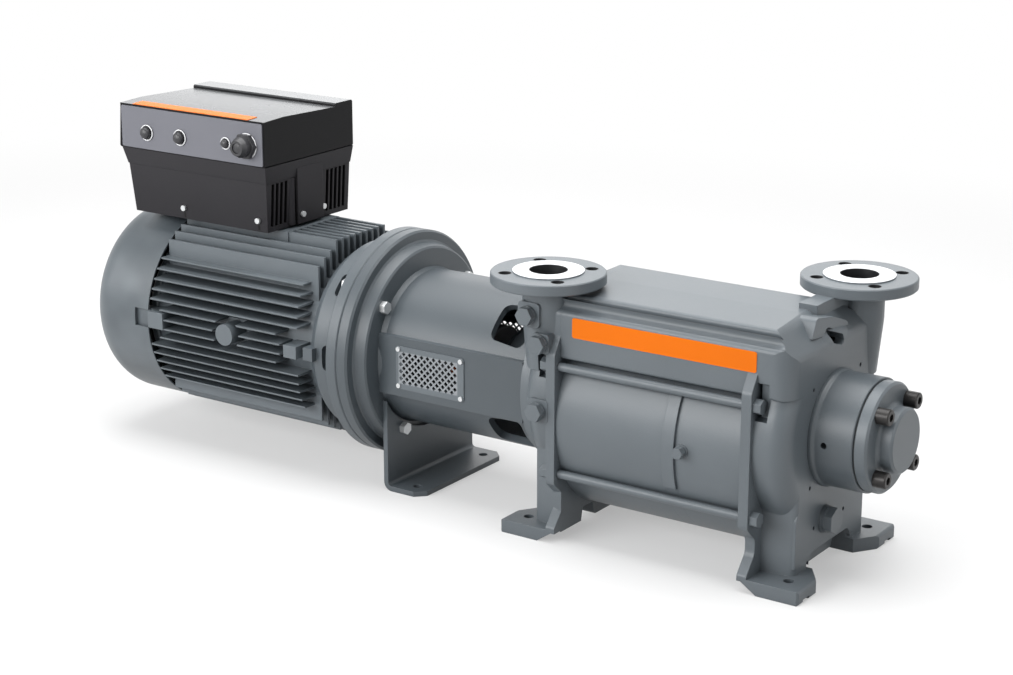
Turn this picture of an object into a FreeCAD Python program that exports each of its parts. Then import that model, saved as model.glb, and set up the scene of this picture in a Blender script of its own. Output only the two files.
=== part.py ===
import FreeCAD, Part
import math
import os

vec = FreeCAD.Vector

# Two-stage liquid ring vacuum pump with lantern, flange motor and frequency drive.
# X runs along the shaft towards the free end of the pump, Z is up, sizes are millimetres.
# The origin is on the floor, at the centre of the pump's four foot bolts.

# Shaft line and clearances
shaft_height = 206.0
running_clearance = 0.5
side_clearance = 0.3
seat_gap = 0.3
bevel_limit = 3.0

# Hydraulic stack between the two end casings
first_stage_length = 175.0
interstage_thickness = 19.0
second_stage_length = 102.0
barrel_drop = 28.0
bore_radius = 138.0
bore_drop = 26.0
barrel_wall = 12.0
port_plate_thickness = 6.0
port_plate_rim = 5.0
strip_height = 137.0
strip_proud = 4.0

# Impellers
tip_clearance = 1.0
hub_radius = 44.0
blade_count = 12
blade_thickness = 5.0
blade_sweep = 24.0
web_thickness = 6.0
web_radius = 92.0
port_inner_radius = 52.0
port_outer_radius = 92.0

# Valve holes beside the outlet port
valve_hole_count = 4
valve_hole_step = 11.0
valve_hole_circle = 84.0
valve_hole_radius = 6.0
valve_start = 62.0
valve_thickness = 2.0

# End casings
clamp_thickness = 15.0
clamp_edge = 13.0
clamp_leg_half_width = 130.0
clamp_low = 92.0
clamp_shoulder = 130.0
clamp_top = 322.0
drum_step = 2.0
drum_depth = 47.0
drum_round = 28.0
end_wall = 14.0
chamber_inner_radius = 50.0
chamber_wall = 17.0
tail_radius = 126.0
tail_length = 15.0
free_block_depth = 49.0
end_plug_y = -20.0
end_plug_z = 78.0
end_plug_boss = 4.0
end_plug_flats = 34.0
end_plug_height = 15.0
plug_flats = 24.0
plug_height = 14.0
body_plug_flats = 15.0
body_plug_height = 12.0
tapped_hole_radius = 3.0

# Top duct, part of the free-end casing
roof_height = 371.0
duct_height = 95.0
duct_inset = 12.0
duct_wall = 9.0
duct_corner = 28.0
roof_slope_length = 34.0
roof_slope_drop = 40.0

# Feet of the pump
foot_hole_reach = 64.0
foot_span_y = 243.0
foot_hole_dia = 15.0
pad_height = 20.0
foot_spotface_radius = 13.0
pad_outer = 152.0
pad_tip_reach = 94.0
pad_heel_reach = 30.0
free_leg_inner = 64.0
free_leg_outer = 106.0
drive_leg_inner = 80.0
drive_leg_outer = 126.0
drive_leg_depth = 35.0

# Pipe flanges, nominal bore 50
flange_dia = 165.0
flange_pcd = 125.0
flange_hole_dia = 18.0
flange_thickness = 16.0
raised_face_dia = 102.0
raised_face_height = 2.0
port_bore_dia = 54.0
nut_room_radius = 16.0
nut_room_depth = 12.0
flange_rise = 23.8
flange_offset_x = 37.0
flange_offset_y = 114.0
neck_radius = 37.0
neck_root_radius = 30.0

# Tie rods
rod_radius = 6.5
rod_gap = 1.6
rod_high_z = 265.0
rod_low_z = 105.0
rod_nut_flats = 19.0
rod_nut_height = 12.0
rod_nut_bore = 9.0
rod_nut_room = 20.0

# Free-end bearing housing and cover
housing_radius = 80.5
housing_root_radius = 83.0
housing_length = 64.5
cover_thickness = 19.5
gasket_thickness = 1.0
cover_radius = 77.5
cap_radius = 46.0
cap_length = 22.5
cover_screw_pcd = 126.0
screw_head_radius = 11.5
screw_head_length = 19.0
grease_hole_radius = 4.5

# Shaft and bearings of the pump
impeller_seat_radius = 24.0
seal_seat_radius = 22.0
bearing_bore_radius = 20.0
bearing_outer_radius = 40.0
bearing_width = 18.0
bearing_track_inner = 26.0
bearing_track_outer = 34.0
roller_count = 10
roller_clearance = 0.08
coupling_seat_radius = 19.0
seal_radius = 33.0
seal_seat_length = 10.0
seal_face_length = 14.0
seal_room = 28.0
key_width = 12.0
key_height = 8.0

# Lantern between pump and motor
lantern_length = 300.0
lantern_radius = 119.0
lantern_wall = 11.0
lantern_flange_radius = 175.0
lantern_flange_thickness = 20.0
lantern_ring_radius = 152.0
lantern_ring_thickness = 19.0
lantern_foot_flange_inner = 90.0
lantern_foot_flange_thickness = 12.0
lantern_pad_reach = 119.6
lantern_pad_height = 92.0
window_length = 60.0
lantern_weld_from_window = 9.0
window_width = 76.0
guard_length = 124.0
guard_height = 67.0
guard_thickness = 1.5
guard_from_flange = 73.0
guard_hole = 5.0
guard_pitch = 11.0
guard_margin = 9.0

# Drive-end bearing housing inside the lantern
inner_flange_radius = 88.0
inner_flange_thickness = 10.0
inner_barrel_radius = 54.0
inner_barrel_length = 78.0
inner_cover_thickness = 7.0

# Coupling
hub_outer_radius = 52.0
hub_length = 52.0
spider_thickness = 20.0
claw_count = 3
claw_inner = 30.0
claw_outer = 46.0
claw_half_turn = 8.0
coupling_gap = 14.0

# Foot bracket under the lantern
bracket_thickness = 8.0
bracket_half_width = 111.0
bracket_reach = 71.0
bracket_height = 146.0
bracket_bend = 14.0
bracket_hole_reach = 46.0
bracket_hole_span = 174.0
bracket_hole_dia = 14.0
bracket_corner = 16.0

# Motor
motor_flange_radius = 175.0
motor_flange_thickness = 20.0
motor_flange_pcd = 300.0
shield_depth = 55.0
frame_length = 325.0
frame_radius = 128.0
stator_radius = 116.0
fin_thickness = 4.5
fin_gap = 4.0
side_fin_tip_radius = 160.0
side_fin_pitch = 15.0
side_fin_count = 14
side_fin_middle = 2.5
top_fin_tip_radius = 164.0
bottom_fin_tip_radius = 159.0
upright_fin_pitch = 14.8
upright_fin_reach = 103.6
motor_boss_radius = 17.0
motor_boss_room = 27.0
motor_boss_rise = 8.0
motor_boss_reach = 163.0
motor_lug_reach = 162.0
motor_shaft_radius = 21.0
motor_shaft_reach = 110.0
rotor_radius = 70.0
air_gap = 0.6
winding_length = 38.0
core_margin = 48.0
motor_bearing_radius = 55.0
motor_bearing_bore = 22.5
motor_bearing_width = 23.0
cowl_radius = 158.0
cowl_length = 146.0
cowl_wall = 2.5
cowl_overlap = 4.0
cowl_pocket_floor = 152.0
cowl_pocket_length = 28.0
cowl_tongue = 14.0
fan_radius = 132.0
fan_width = 42.0
fan_blade_count = 9
grille_rings = 6
grille_inner = 22.0
grille_pitch = 13.0
grille_slot = 7.0
spigot_radius = 124.8
spigot_height = 5.0
shield_radius = 150.0
shield_pocket_count = 8
shield_pocket_width = 40.0
shield_pocket_floor = 134.0
motor_bearing_track_inner = 30.0
motor_bearing_track_outer = 42.0
bearing_shield_thickness = 1.5

# Frequency drive on top of the motor
drive_length = 299.0
drive_half_width = 108.0
drive_bottom = 368.0
drive_split = 474.0
drive_top = 545.0
drive_lip = 447.0
drive_from_flange = 183.0
drive_lip_inset = (5.0, 7.0, 2.0)
drive_foot_inset = (11.0, 14.5, 3.5)
drive_lip_step = 1.0
drive_cover_flare = 4.5
drive_step_top = 3.5
drive_step_width = 44.0
drive_dip = 2.0
drive_crown = 2.0
drive_crown_width = 48.0
drive_wall = 4.0
drive_fin_pitch = 10.5
drive_fin_gap = 6.5
drive_fin_depth = 10.0
drive_near_slots = 4
drive_near_slots_from = 49.0
drive_far_slots = 5
drive_far_slots_from = 46.0
drive_screw_height = 18.0
drive_boss_low = -30.0
drive_boss_high = 32.0
drive_boss_reach = 9.0
drive_screw_radius = 4.5
pad_top = 366.0
pad_half_width = 64.0
gland_ring_radius = 19.5
gland_flats = 36.0
gland_body_radius = 16.0
gland_end_radius = 10.0
blanking_ring_radius = 13.0
blanking_plug_radius = 8.5

# Bare strips
strip_length = 290.0
drive_strip_length = 240.0
label_height = 29.0
label_drop = 61.0
label_thickness = 0.8

# Places worked out from the sizes above
stack_length = first_stage_length + interstage_thickness + second_stage_length
drive_face = -stack_length / 2
free_face = stack_length / 2
first_end = drive_face + first_stage_length
second_start = first_end + interstage_thickness
barrel_z = shaft_height - barrel_drop
bore_z = shaft_height - bore_drop
barrel_radius = bore_radius + barrel_wall
drum_radius = barrel_radius - drum_step
chamber_outer_radius = barrel_radius - chamber_wall
port_plate_radius = bore_radius + port_plate_rim
rod_y = math.sqrt((barrel_radius + rod_radius + rod_gap) ** 2 - (barrel_z - rod_low_z) ** 2)
clamp_half_width = rod_y + clamp_edge
duct_half_width = barrel_radius - duct_inset
duct_low = roof_height - duct_height
label_low = roof_height - label_drop
flange_top = roof_height + flange_rise
impeller_radius = bore_radius - bore_drop - tip_clearance
clamp_depth = clamp_thickness
drum_end = clamp_depth + drum_depth
lantern_joint = drive_face - drum_end - tail_length
motor_joint = lantern_joint - lantern_length
free_end_face = free_face + clamp_depth + free_block_depth
cover_joint = free_end_face + housing_length
cover_face = cover_joint + cover_thickness
cap_end = cover_face + cap_length
flange_x = stack_length / 2 + flange_offset_x
shield_joint = motor_joint - motor_flange_thickness - shield_depth
frame_end = shield_joint - frame_length
drive_x1 = motor_joint - drive_from_flange
drive_x0 = drive_x1 - drive_length
bracket_face = motor_joint + lantern_flange_thickness + lantern_ring_thickness
coupling_middle = motor_joint + motor_shaft_reach + coupling_gap


# Outline of straight runs joined by arcs; corners are (u, v) or (u, v, radius)
# Roundings up to bevel_limit are drawn as bevels
def outline_face(corners, place):
    count = len(corners)
    turns = []
    for i in range(count):
        here = vec(corners[i][0], corners[i][1], 0)
        radius = corners[i][2] if len(corners[i]) > 2 else 0.0
        if radius == 0.0:
            turns.append((here, None, here))
            continue
        before = vec(corners[i - 1][0], corners[i - 1][1], 0)
        after = vec(corners[(i + 1) % count][0], corners[(i + 1) % count][1], 0)
        back = (before - here).normalize()
        ahead = (after - here).normalize()
        half = back.getAngle(ahead) / 2
        run = radius / math.tan(half)
        bisector = (back + ahead).normalize()
        middle = here + bisector * (radius / math.sin(half) - radius)
        turns.append((here + back * run, middle, here + ahead * run))
    edges = []
    for i in range(count):
        start, middle, end = turns[i]
        if middle is not None and corners[i][2] <= bevel_limit:
            edges.append(Part.makeLine(place(start.x, start.y), place(end.x, end.y)))
        elif middle is not None:
            arc = Part.Arc(place(start.x, start.y), place(middle.x, middle.y), place(end.x, end.y))
            edges.append(arc.toShape())
        following = turns[(i + 1) % count][0]
        if (following - end).Length > 1e-6:
            edges.append(Part.makeLine(place(end.x, end.y), place(following.x, following.y)))
    return Part.Face(Part.Wire(edges))


def prism_x(corners, x0, x1):
    return outline_face(corners, lambda y, z: vec(x0, y, z)).extrude(vec(x1 - x0, 0, 0))


def prism_y(corners, y0, y1):
    return outline_face(corners, lambda x, z: vec(x, y0, z)).extrude(vec(0, y1 - y0, 0))


def prism_z(corners, z0, z1):
    return outline_face(corners, lambda x, y: vec(x, y, z0)).extrude(vec(0, 0, z1 - z0))


def box(x0, x1, y0, y1, z0, z1):
    return Part.makeBox(x1 - x0, y1 - y0, z1 - z0, vec(x0, y0, z0))


def rod_x(radius, x0, x1, y=0.0, z=shaft_height):
    return Part.makeCylinder(radius, x1 - x0, vec(x0, y, z), vec(1, 0, 0))


def rod_along_y(radius, y0, y1, x, z):
    return Part.makeCylinder(radius, y1 - y0, vec(x, y0, z), vec(0, 1, 0))


def rod_z(radius, z0, z1, x, y):
    return Part.makeCylinder(radius, z1 - z0, vec(x, y, z0), vec(0, 0, 1))


def ring_x(outer, inner, x0, x1, y=0.0, z=shaft_height):
    return rod_x(outer, x0, x1, y, z).cut(rod_x(inner, x0 - 1, x1 + 1, y, z))


# Turned body about the shaft axis; corners are (x, radius, rounding)
def turned_x(corners):
    face = outline_face(corners, lambda x, r: vec(x, 0, shaft_height + r))
    return face.revolve(vec(0, 0, shaft_height), vec(1, 0, 0), 360)


# Turned body about an upright axis; corners are (radius, z, rounding)
def turned_z(corners, x, y):
    face = outline_face(corners, lambda r, z: vec(x + r, y, z))
    return face.revolve(vec(x, y, 0), vec(0, 0, 1), 360)


def joined(*shapes):
    whole = shapes[0]
    for shape in shapes[1:]:
        whole = whole.fuse(shape)
    return whole.removeSplitter()


def without(shape, *tools):
    return shape.cut(Part.makeCompound(list(tools)))


def turned_about_shaft(shape, degrees):
    copy = shape.copy()
    copy.rotate(vec(0, 0, shaft_height), vec(1, 0, 0), degrees)
    return copy


def mirrored_y(shape):
    return shape.mirror(vec(0, 0, 0), vec(0, 1, 0))


def around_shaft(shape, count, first=0.0):
    return [turned_about_shaft(shape, first + 360.0 * i / count) for i in range(count)]


# Hexagonal prism from a start point along a direction
def hexagon(flats, start, direction, length):
    radius = flats / math.sqrt(3)
    points = [vec(radius * math.cos(math.radians(60 * i)), radius * math.sin(math.radians(60 * i)), 0)
              for i in range(7)]
    bar = Part.Face(Part.makePolygon(points)).extrude(vec(0, 0, length))
    bar.Placement = FreeCAD.Placement(start, FreeCAD.Rotation(vec(0, 0, 1), direction))
    return bar


def socket_screw(head_radius, head_length, start, direction):
    head = Part.makeCylinder(head_radius, head_length - 1.5, start, direction)
    rim = Part.makeCone(head_radius, head_radius - 1.5, 1.5, start + direction * (head_length - 1.5), direction)
    socket = hexagon(head_radius * 0.9, start + direction * (head_length * 0.75), direction, head_length)
    return joined(head, rim).cut(socket)


def hex_plug(flats, collar_radius, start, direction, height):
    collar = Part.makeCylinder(collar_radius, height * 0.3, start, direction)
    head = hexagon(flats, start + direction * (height * 0.3), direction, height * 0.7)
    return joined(collar, head)


# Curved slot about the shaft axis, angles from +Y towards +Z
def kidney(inner, outer, start, end, x0, x1):
    middle = (inner + outer) / 2
    half = (outer - inner) / 2

    def at(radius, degrees):
        turn = math.radians(degrees)
        return vec(x0, radius * math.cos(turn), shaft_height + radius * math.sin(turn))

    lead = math.degrees(half / middle)
    mid = (start + end) / 2
    edges = [
        Part.Arc(at(outer, start), at(outer, mid), at(outer, end)).toShape(),
        Part.Arc(at(outer, end), at(middle, end + lead), at(inner, end)).toShape(),
        Part.Arc(at(inner, end), at(inner, mid), at(inner, start)).toShape(),
        Part.Arc(at(inner, start), at(middle, start - lead), at(outer, start)).toShape(),
    ]
    return Part.Face(Part.Wire(edges)).extrude(vec(x1 - x0, 0, 0))


# Section of the roof duct; the near side carries the flat face for the name strip
def duct_outline():
    low = duct_low
    side = duct_half_width
    return [
        (-side + 16, roof_height - 3, 6), (-35, roof_height, 40), (45, roof_height, 12),
        (side - 14, roof_height - 48, 25), (side, low + 16, 12), (side, low, 4),
        (-side, low, 4), (-side, roof_height - 25, 9), (-side + 27, roof_height - 20, 8),
        (-side + 16, roof_height - 14, 4),
    ]


def duct_channel_outline():
    wall = duct_wall
    side = duct_half_width - wall
    return [
        (-side + 18, roof_height - 2 * wall, 8), (-35, roof_height - wall, 30),
        (40, roof_height - wall, 12), (side - 20, roof_height - 52, 15), (side - 6, duct_low + 24, 8),
        (side - 6, duct_low + wall, 4), (-side + 6, duct_low + wall, 4), (-side + 6, roof_height - 36, 8),
    ]


# Outline of one clamp plate with the upper part of its legs
def clamp_outline():
    wide = clamp_half_width
    leg = clamp_leg_half_width
    half = [
        (clamp_shoulder, clamp_top, 10), (wide, rod_high_z + 19, 12), (wide, clamp_low, 12),
        (leg, clamp_low - 20, 16), (leg, pad_height + 30, 16), (pad_outer, pad_height + 4, 6),
        (pad_outer, pad_height - 4), (drive_leg_inner, pad_height - 4), (drive_leg_inner - 6, 42, 12),
    ]
    return half + [(-corner[0],) + corner[1:] for corner in reversed(half)]


# One foot beyond a clamp plate, drawn for the free end on the +Y side
def foot(leg_depth, leg_inner, leg_outer):
    heel = free_face
    tip = free_face + pad_tip_reach
    side_view = [
        (heel, pad_height), (heel + pad_heel_reach, 0), (tip, 0, 2), (tip, pad_height - 2, 4),
        (tip - 4, pad_height, 2),
    ]
    pad = prism_y(side_view, leg_inner, pad_outer)
    plan = [
        (heel - 1, pad_outer), (tip, pad_outer, 3), (tip, leg_inner + 35), (tip - 24, leg_inner),
        (heel - 1, leg_inner),
    ]
    pad = pad.common(prism_z(plan, -1, pad_height + 1))
    groove = box(heel + pad_heel_reach + 8, tip + 1, pad_outer - 34, pad_outer - 15, -1, 5)
    hole = rod_z(foot_hole_dia / 2, -1, pad_height + 1, free_face + foot_hole_reach, foot_span_y / 2)
    leg_end = free_face + clamp_depth + leg_depth
    leg = prism_z([(free_face, leg_inner), (leg_end, leg_inner, 8), (leg_end, leg_outer, 8),
                   (free_face, leg_outer + 8)], pad_height - 6, shaft_height - 60)
    spotface = rod_z(foot_spotface_radius, pad_height - 0.01, pad_height + 14,
                     free_face + foot_hole_reach, foot_span_y / 2)
    return without(joined(pad, leg), groove, hole, spotface)


def feet(*leg):
    one = foot(*leg)
    return [one, mirrored_y(one)]


# Pipe flange on its neck, bore left for the casing to cut
def pipe_flange(x, y, low):
    radius = flange_dia / 2
    face = raised_face_dia / 2
    under = flange_top - raised_face_height - flange_thickness
    profile = [
        (0, low), (neck_root_radius, low), (neck_radius, under - 46, 60), (neck_radius, under, 6),
        (radius, under, 1.5), (radius, under + flange_thickness, 1.5), (face, under + flange_thickness),
        (face, flange_top), (0, flange_top),
    ]
    return turned_z(profile, x, y)


def flange_bolt_holes(x, y):
    reach = flange_pcd / 2 * math.cos(math.radians(45))
    top = flange_top + 1
    return [rod_z(flange_hole_dia / 2, top - 30, top, x + i * reach, y + j * reach)
            for i in (-1, 1) for j in (-1, 1)]


# Gas way from a pipe flange down into the upper chamber of its casing
def gas_way(x, y):
    radius = port_bore_dia / 2
    down = rod_z(radius, shaft_height + 96, flange_top + 1, x, y)
    start = vec(x, y, shaft_height + 100)
    aim = vec(0, -y * 0.45, -52)
    slanted = Part.makeCylinder(radius - 3, aim.Length, start, aim)
    return joined(down, Part.makeSphere(radius - 0.5, start), slanted)


# Hollow spaces of an end casing behind its port plate, drawn for the free end
def chambers():
    start = free_face + port_plate_thickness
    end = free_end_face - end_wall
    upper = kidney(chamber_inner_radius, chamber_outer_radius - 10, 52, 128, start, end)
    lower = kidney(chamber_inner_radius, chamber_outer_radius - 12, 232, 308, start, end)
    side = kidney(chamber_inner_radius + 4, chamber_outer_radius - 14, -22, 0, start, end - 8)
    return [upper, lower, side]


def port_plate_recess():
    return rod_x(port_plate_radius, free_face - 1, free_face + port_plate_thickness, z=bore_z)


def rod_holes(x0, x1):
    return [rod_x(rod_radius + running_clearance, x0, x1, y, z)
            for y in (-rod_y, rod_y) for z in (rod_low_z, rod_high_z)]


# Casing drum with its rounded outer edge, drawn for the free end
def drum(depth):
    start = free_face
    end = free_face + clamp_depth + depth
    return turned_x([(start, 0), (end, 0), (end, drum_radius, drum_round), (start, drum_radius)])


# Lower part of the free end, level with the end of the drum
def end_block():
    outline = [
        (-free_leg_outer, 100, 10), (-free_leg_outer, 30), (-free_leg_inner, 30), (-free_leg_inner, 40, 16),
        (free_leg_inner, 40, 16), (free_leg_inner, 30), (100, 30), (100, 130), (-90, 130),
    ]
    plan = [(free_face, -120), (free_end_face, -120), (free_end_face, 100, 20), (free_face, 100)]
    return prism_x(outline, free_face + 1, free_end_face).common(prism_z(plan, 0, shaft_height))


# The duct at the free end: rounded corner, and a slope from the roof down to the end face
def duct_body():
    end = free_end_face
    side = duct_half_width
    plan = [(drive_face, -side), (end, -side, duct_corner), (end, 102, duct_corner), (end - 26, side, 20),
            (drive_face, side)]
    slope = [(drive_face, duct_low - 1), (end, duct_low - 1), (end, roof_height - roof_slope_drop, 16),
             (end - roof_slope_length, roof_height + 1, 30), (drive_face, roof_height + 1)]
    body = prism_x(duct_outline(), drive_face, end)
    return body.common(prism_z(plan, duct_low - 2, roof_height + 2)).common(prism_y(slope, -side - 1, side + 1))


# Curved lifting rib over the slope, with the hollow under it
def lifting_hook():
    top = roof_height
    rib = [(-64, top - 26), (-52, top + 1, 8), (0, top - 9, 30), (47, top - 26, 16), (45, top - 50, 10),
           (22, top - 54, 5), (20, top - 34, 6), (-22, top - 18, 10), (-30, top - 30)]
    return prism_x(rib, free_end_face - 34, free_end_face - 8)


def hook_hollow():
    top = roof_height
    hollow = [(-26, top - 21, 4), (16, top - 36, 4), (18, top - 52, 6), (-14, top - 42, 8)]
    return prism_x(hollow, free_end_face - 22, free_end_face + 1)


# Small tapped holes in the end face, as (y, z)
def tapped_holes():
    places = [(73, 277), (-69, 277), (-69, 137), (38.7, 74), (-52, 74)]
    return [rod_x(tapped_hole_radius, free_end_face - 8, free_end_face + 1, y, z) for y, z in places]


def free_end_casing():
    plate = prism_x(clamp_outline(), free_face, free_face + clamp_depth)
    saddle_box = rod_x(barrel_radius, drive_face - 1, free_face, z=barrel_z)
    channel = prism_x(duct_channel_outline(), drive_face - 1, free_end_face - roof_slope_length - 15)
    channel = channel.cut(rod_x(barrel_radius + duct_wall, drive_face - 2, free_end_face, z=barrel_z))
    web = box(flange_x - 26, flange_x + 2, -18, flange_offset_y, roof_height - 40, flange_top - 16)
    drain = prism_x([(-42, 12, 6), (42, 12, 6), (52, 60), (-52, 60)], free_face + 2, free_end_face - 18)
    plug_boss = rod_x(20, free_end_face - 4, free_end_face + end_plug_boss, end_plug_y, end_plug_z)
    body = joined(plate, duct_body(), drum(free_block_depth), end_block(), web, drain, plug_boss,
                  lifting_hook(), pipe_flange(flange_x, flange_offset_y, shaft_height + 48),
                  *feet(free_block_depth, free_leg_inner, free_leg_outer))
    seal_bore = rod_x(seal_radius + 5, free_end_face - seal_room, free_end_face + 1)
    shaft_hole = rod_x(impeller_seat_radius + running_clearance, free_face, free_end_face)
    return without(body, saddle_box, channel, port_plate_recess(), gas_way(flange_x, flange_offset_y),
                   seal_bore, shaft_hole, hook_hollow(), flange_nut_room(), *tapped_holes(), *chambers(),
                   *flange_bolt_holes(flange_x, flange_offset_y),
                   *rod_holes(free_face - 1, free_face + clamp_depth + 1),
                   *rod_nut_pockets(free_face + clamp_depth))


# Flat room in the long duct for the nut under one bolt of the suction flange
def flange_nut_room():
    reach = flange_pcd / 2 * math.cos(math.radians(45))
    under = flange_top - raised_face_height - flange_thickness
    return rod_z(nut_room_radius, under - nut_room_depth, under, -flange_x + reach, -flange_offset_y + reach)


# Flat seats for the nuts beside the drum; the upper ones run on under the duct
def rod_nut_pockets(x):
    end = x + rod_nut_height + 6
    low = [rod_x(rod_nut_flats * 0.62, x, end, y, rod_low_z) for y in (-rod_y, rod_y)]
    high = [rod_x(rod_nut_room - 2 * step, x, end, side * (rod_y - 11 * step), rod_high_z + 16 * step)
            for side in (-1, 1) for step in (0, 1, 2)]
    return low + high


def flipped_x(shape):
    return shape.mirror(vec(0, 0, 0), vec(1, 0, 0))


# The drive-end casing is drawn mirrored, as if at the free end, then flipped over
def drive_end_casing():
    plate = prism_x(clamp_outline(), free_face, free_face + clamp_depth)
    roof = prism_x(duct_outline(), free_face, free_face + clamp_depth)
    tail_start = free_face + drum_end
    tail = rod_x(tail_radius, tail_start - 1, tail_start + tail_length)
    skirt = prism_x([(-80, 34, 10), (80, 34, 10), (100, 110), (-100, 110)],
                    free_face + 1, free_face + clamp_depth + drive_leg_depth - 8)
    drain = prism_x([(-42, 12, 6), (42, 12, 6), (52, 60), (-52, 60)], free_face + 2, free_face + 40)
    bosses = [side_boss(*place) for place in side_plug_places()]
    body = joined(plate, roof, drum(drum_depth), tail, skirt, drain, *bosses,
                  pipe_flange(flange_x, -flange_offset_y, shaft_height + 48),
                  *feet(drive_leg_depth, drive_leg_inner, drive_leg_outer))
    seal_bore = rod_x(seal_radius + 5, tail_start + tail_length - seal_room, tail_start + tail_length + 1)
    shaft_hole = rod_x(impeller_seat_radius + running_clearance, free_face, tail_start)
    body = without(body, port_plate_recess(), gas_way(flange_x, -flange_offset_y), seal_bore, shaft_hole,
                   *chambers(), *flange_bolt_holes(flange_x, -flange_offset_y),
                   *rod_holes(free_face - 1, free_face + clamp_depth + 1),
                   *rod_nut_pockets(free_face + clamp_depth))
    return flipped_x(body)


# Bosses for the side plugs: x, z, half width, outer and inner reach in Y
def side_plug_places():
    low = (free_face + 28, 198, 17, -drum_radius - 6, -drum_radius + 30)
    middle = (free_face + 24, 298, 14, -drum_radius - 6, -flange_offset_y + 20)
    high = (free_face + 44, 337, 18, -drum_radius - 6, -flange_offset_y + 8)
    return low, middle, high


def side_boss(x, z, half, outer, inner):
    corner = half * 0.35
    return prism_y([(x - half, z - half, corner), (x + half, z - half, corner),
                    (x + half, z + half, corner), (x - half, z + half, corner)], outer, inner)


# Screw plugs of the drive-end casing and the small one of the second stage
def casing_plugs():
    plugs = [hex_plug(plug_flats, plug_flats * 0.55, vec(-x, outer, z), vec(0, -1, 0), plug_height)
             for x, z, half, outer, inner in side_plug_places()]
    x, outer, z = body_plug_place()
    small = hex_plug(body_plug_flats, body_plug_flats * 0.55, vec(x, outer, z), vec(0, -1, 0), body_plug_height)
    return Part.makeCompound(plugs + [small])


def end_plug():
    start = vec(free_end_face + end_plug_boss, end_plug_y, end_plug_z)
    return hex_plug(end_plug_flats, end_plug_flats * 0.56, start, vec(1, 0, 0), end_plug_height)


# Stage barrel with its bore below the shaft line
def stage_body(x0, x1):
    barrel = rod_x(barrel_radius, x0, x1, z=barrel_z)
    return barrel.cut(rod_x(bore_radius, x0 - 1, x1 + 1, z=bore_z))


def body_plug_place():
    return second_start + 11, -barrel_radius - 2, barrel_z + 5


def second_stage_body():
    x, outer, z = body_plug_place()
    boss = rod_along_y(10, outer, -bore_radius - 3, x, z)
    return joined(stage_body(second_start, free_face), boss)


def interstage_plate():
    disc = rod_x(barrel_radius, first_end, second_start, z=barrel_z)
    middle = barrel_z + 14
    strip = box(first_end, second_start, -barrel_radius - strip_proud, -barrel_radius + 60,
                middle - strip_height / 2, middle + strip_height / 2)
    band = ring_x(barrel_radius + strip_proud, barrel_radius - 2, first_end, second_start, z=barrel_z)
    disc = joined(disc, band.common(strip))
    shaft_hole = rod_x(impeller_seat_radius + running_clearance, first_end - 1, second_start + 1)
    through = kidney(port_inner_radius, port_outer_radius, 40, 75, first_end - 1, second_start + 1)
    low = kidney(port_inner_radius, port_outer_radius - 12, 118, 140, first_end - 1, second_start + 1)
    return without(disc, shaft_hole, through, low)


# Steel port plate: long inlet port on one side, outlet port and valve holes on the other
def port_plate(x0, inlet_start, inlet_end, holes_from):
    plate = rod_x(port_plate_radius, x0, x0 + port_plate_thickness, z=bore_z)
    x1 = x0 + port_plate_thickness
    cuts = [rod_x(impeller_seat_radius + running_clearance, x0 - 1, x1 + 1),
            kidney(port_inner_radius, port_outer_radius, inlet_start, inlet_end, x0 - 1, x1 + 1)]
    for i in range(valve_hole_count):
        turn = math.radians(holes_from + i * valve_hole_step)
        y = valve_hole_circle * math.cos(turn)
        z = shaft_height + valve_hole_circle * math.sin(turn)
        cuts.append(rod_x(valve_hole_radius, x0 - 1, x1 + 1, y, z))
    return without(plate, *cuts)



# Flexible flap over the valve holes, and the stop plate behind it
def valve_flap(x0):
    return kidney(valve_hole_circle - 9, valve_hole_circle + 9, valve_start - 2,
                  valve_start + valve_hole_step * (valve_hole_count - 1) + 2, x0, x0 + valve_thickness)



def impeller(x0, x1):
    hub = turned_x([(x0, impeller_seat_radius), (x0, hub_radius - 4), (x0 + 6, hub_radius, 3),
                    (x1 - 6, hub_radius, 3), (x1, hub_radius - 4), (x1, impeller_seat_radius)])
    half = blade_thickness / 2

    def at(radius, degrees, shift):
        turn = math.radians(degrees)
        return vec(x0, radius * math.cos(turn) - shift * math.sin(turn),
                   shaft_height + radius * math.sin(turn) + shift * math.cos(turn))

    root = hub_radius - 3
    middle = (hub_radius + impeller_radius) / 2
    tip = math.sqrt(impeller_radius ** 2 - half ** 2) - 0.05
    lean = blade_sweep
    edges = [
        Part.Arc(at(root, 0, half), at(middle, lean * 0.12, half), at(tip, lean, half)).toShape(),
        Part.makeLine(at(tip, lean, half), at(tip, lean, -half)),
        Part.Arc(at(tip, lean, -half), at(middle, lean * 0.12, -half), at(root, 0, -half)).toShape(),
        Part.makeLine(at(root, 0, -half), at(root, 0, half)),
    ]
    blade = Part.Face(Part.Wire(edges)).extrude(vec(x1 - x0, 0, 0))
    mid = (x0 + x1) / 2
    web = ring_x(web_radius, hub_radius - 3, mid - web_thickness / 2, mid + web_thickness / 2)
    wheel = joined(hub, web, *around_shaft(blade, blade_count))
    return wheel.cut(key_bar(x0 + 20, x1 - 20, impeller_seat_radius))


# Parallel key standing half in the shaft
def key_bar(x0, x1, seat_radius):
    foot_z = shaft_height + seat_radius - key_height * 0.6
    return box(x0, x1, -key_width / 2, key_width / 2, foot_z, foot_z + key_height)


def pump_keys():
    return [
        key_bar(drive_face + side_clearance + 20, first_end - side_clearance - 20, impeller_seat_radius),
        key_bar(second_start + side_clearance + 20, free_face - side_clearance - 20, impeller_seat_radius),
        key_bar(pump_hub_start() + 4, pump_hub_start() + hub_length - 4, coupling_seat_radius),
    ]


def pump_hub_start():
    return coupling_middle + spider_thickness / 2


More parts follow.
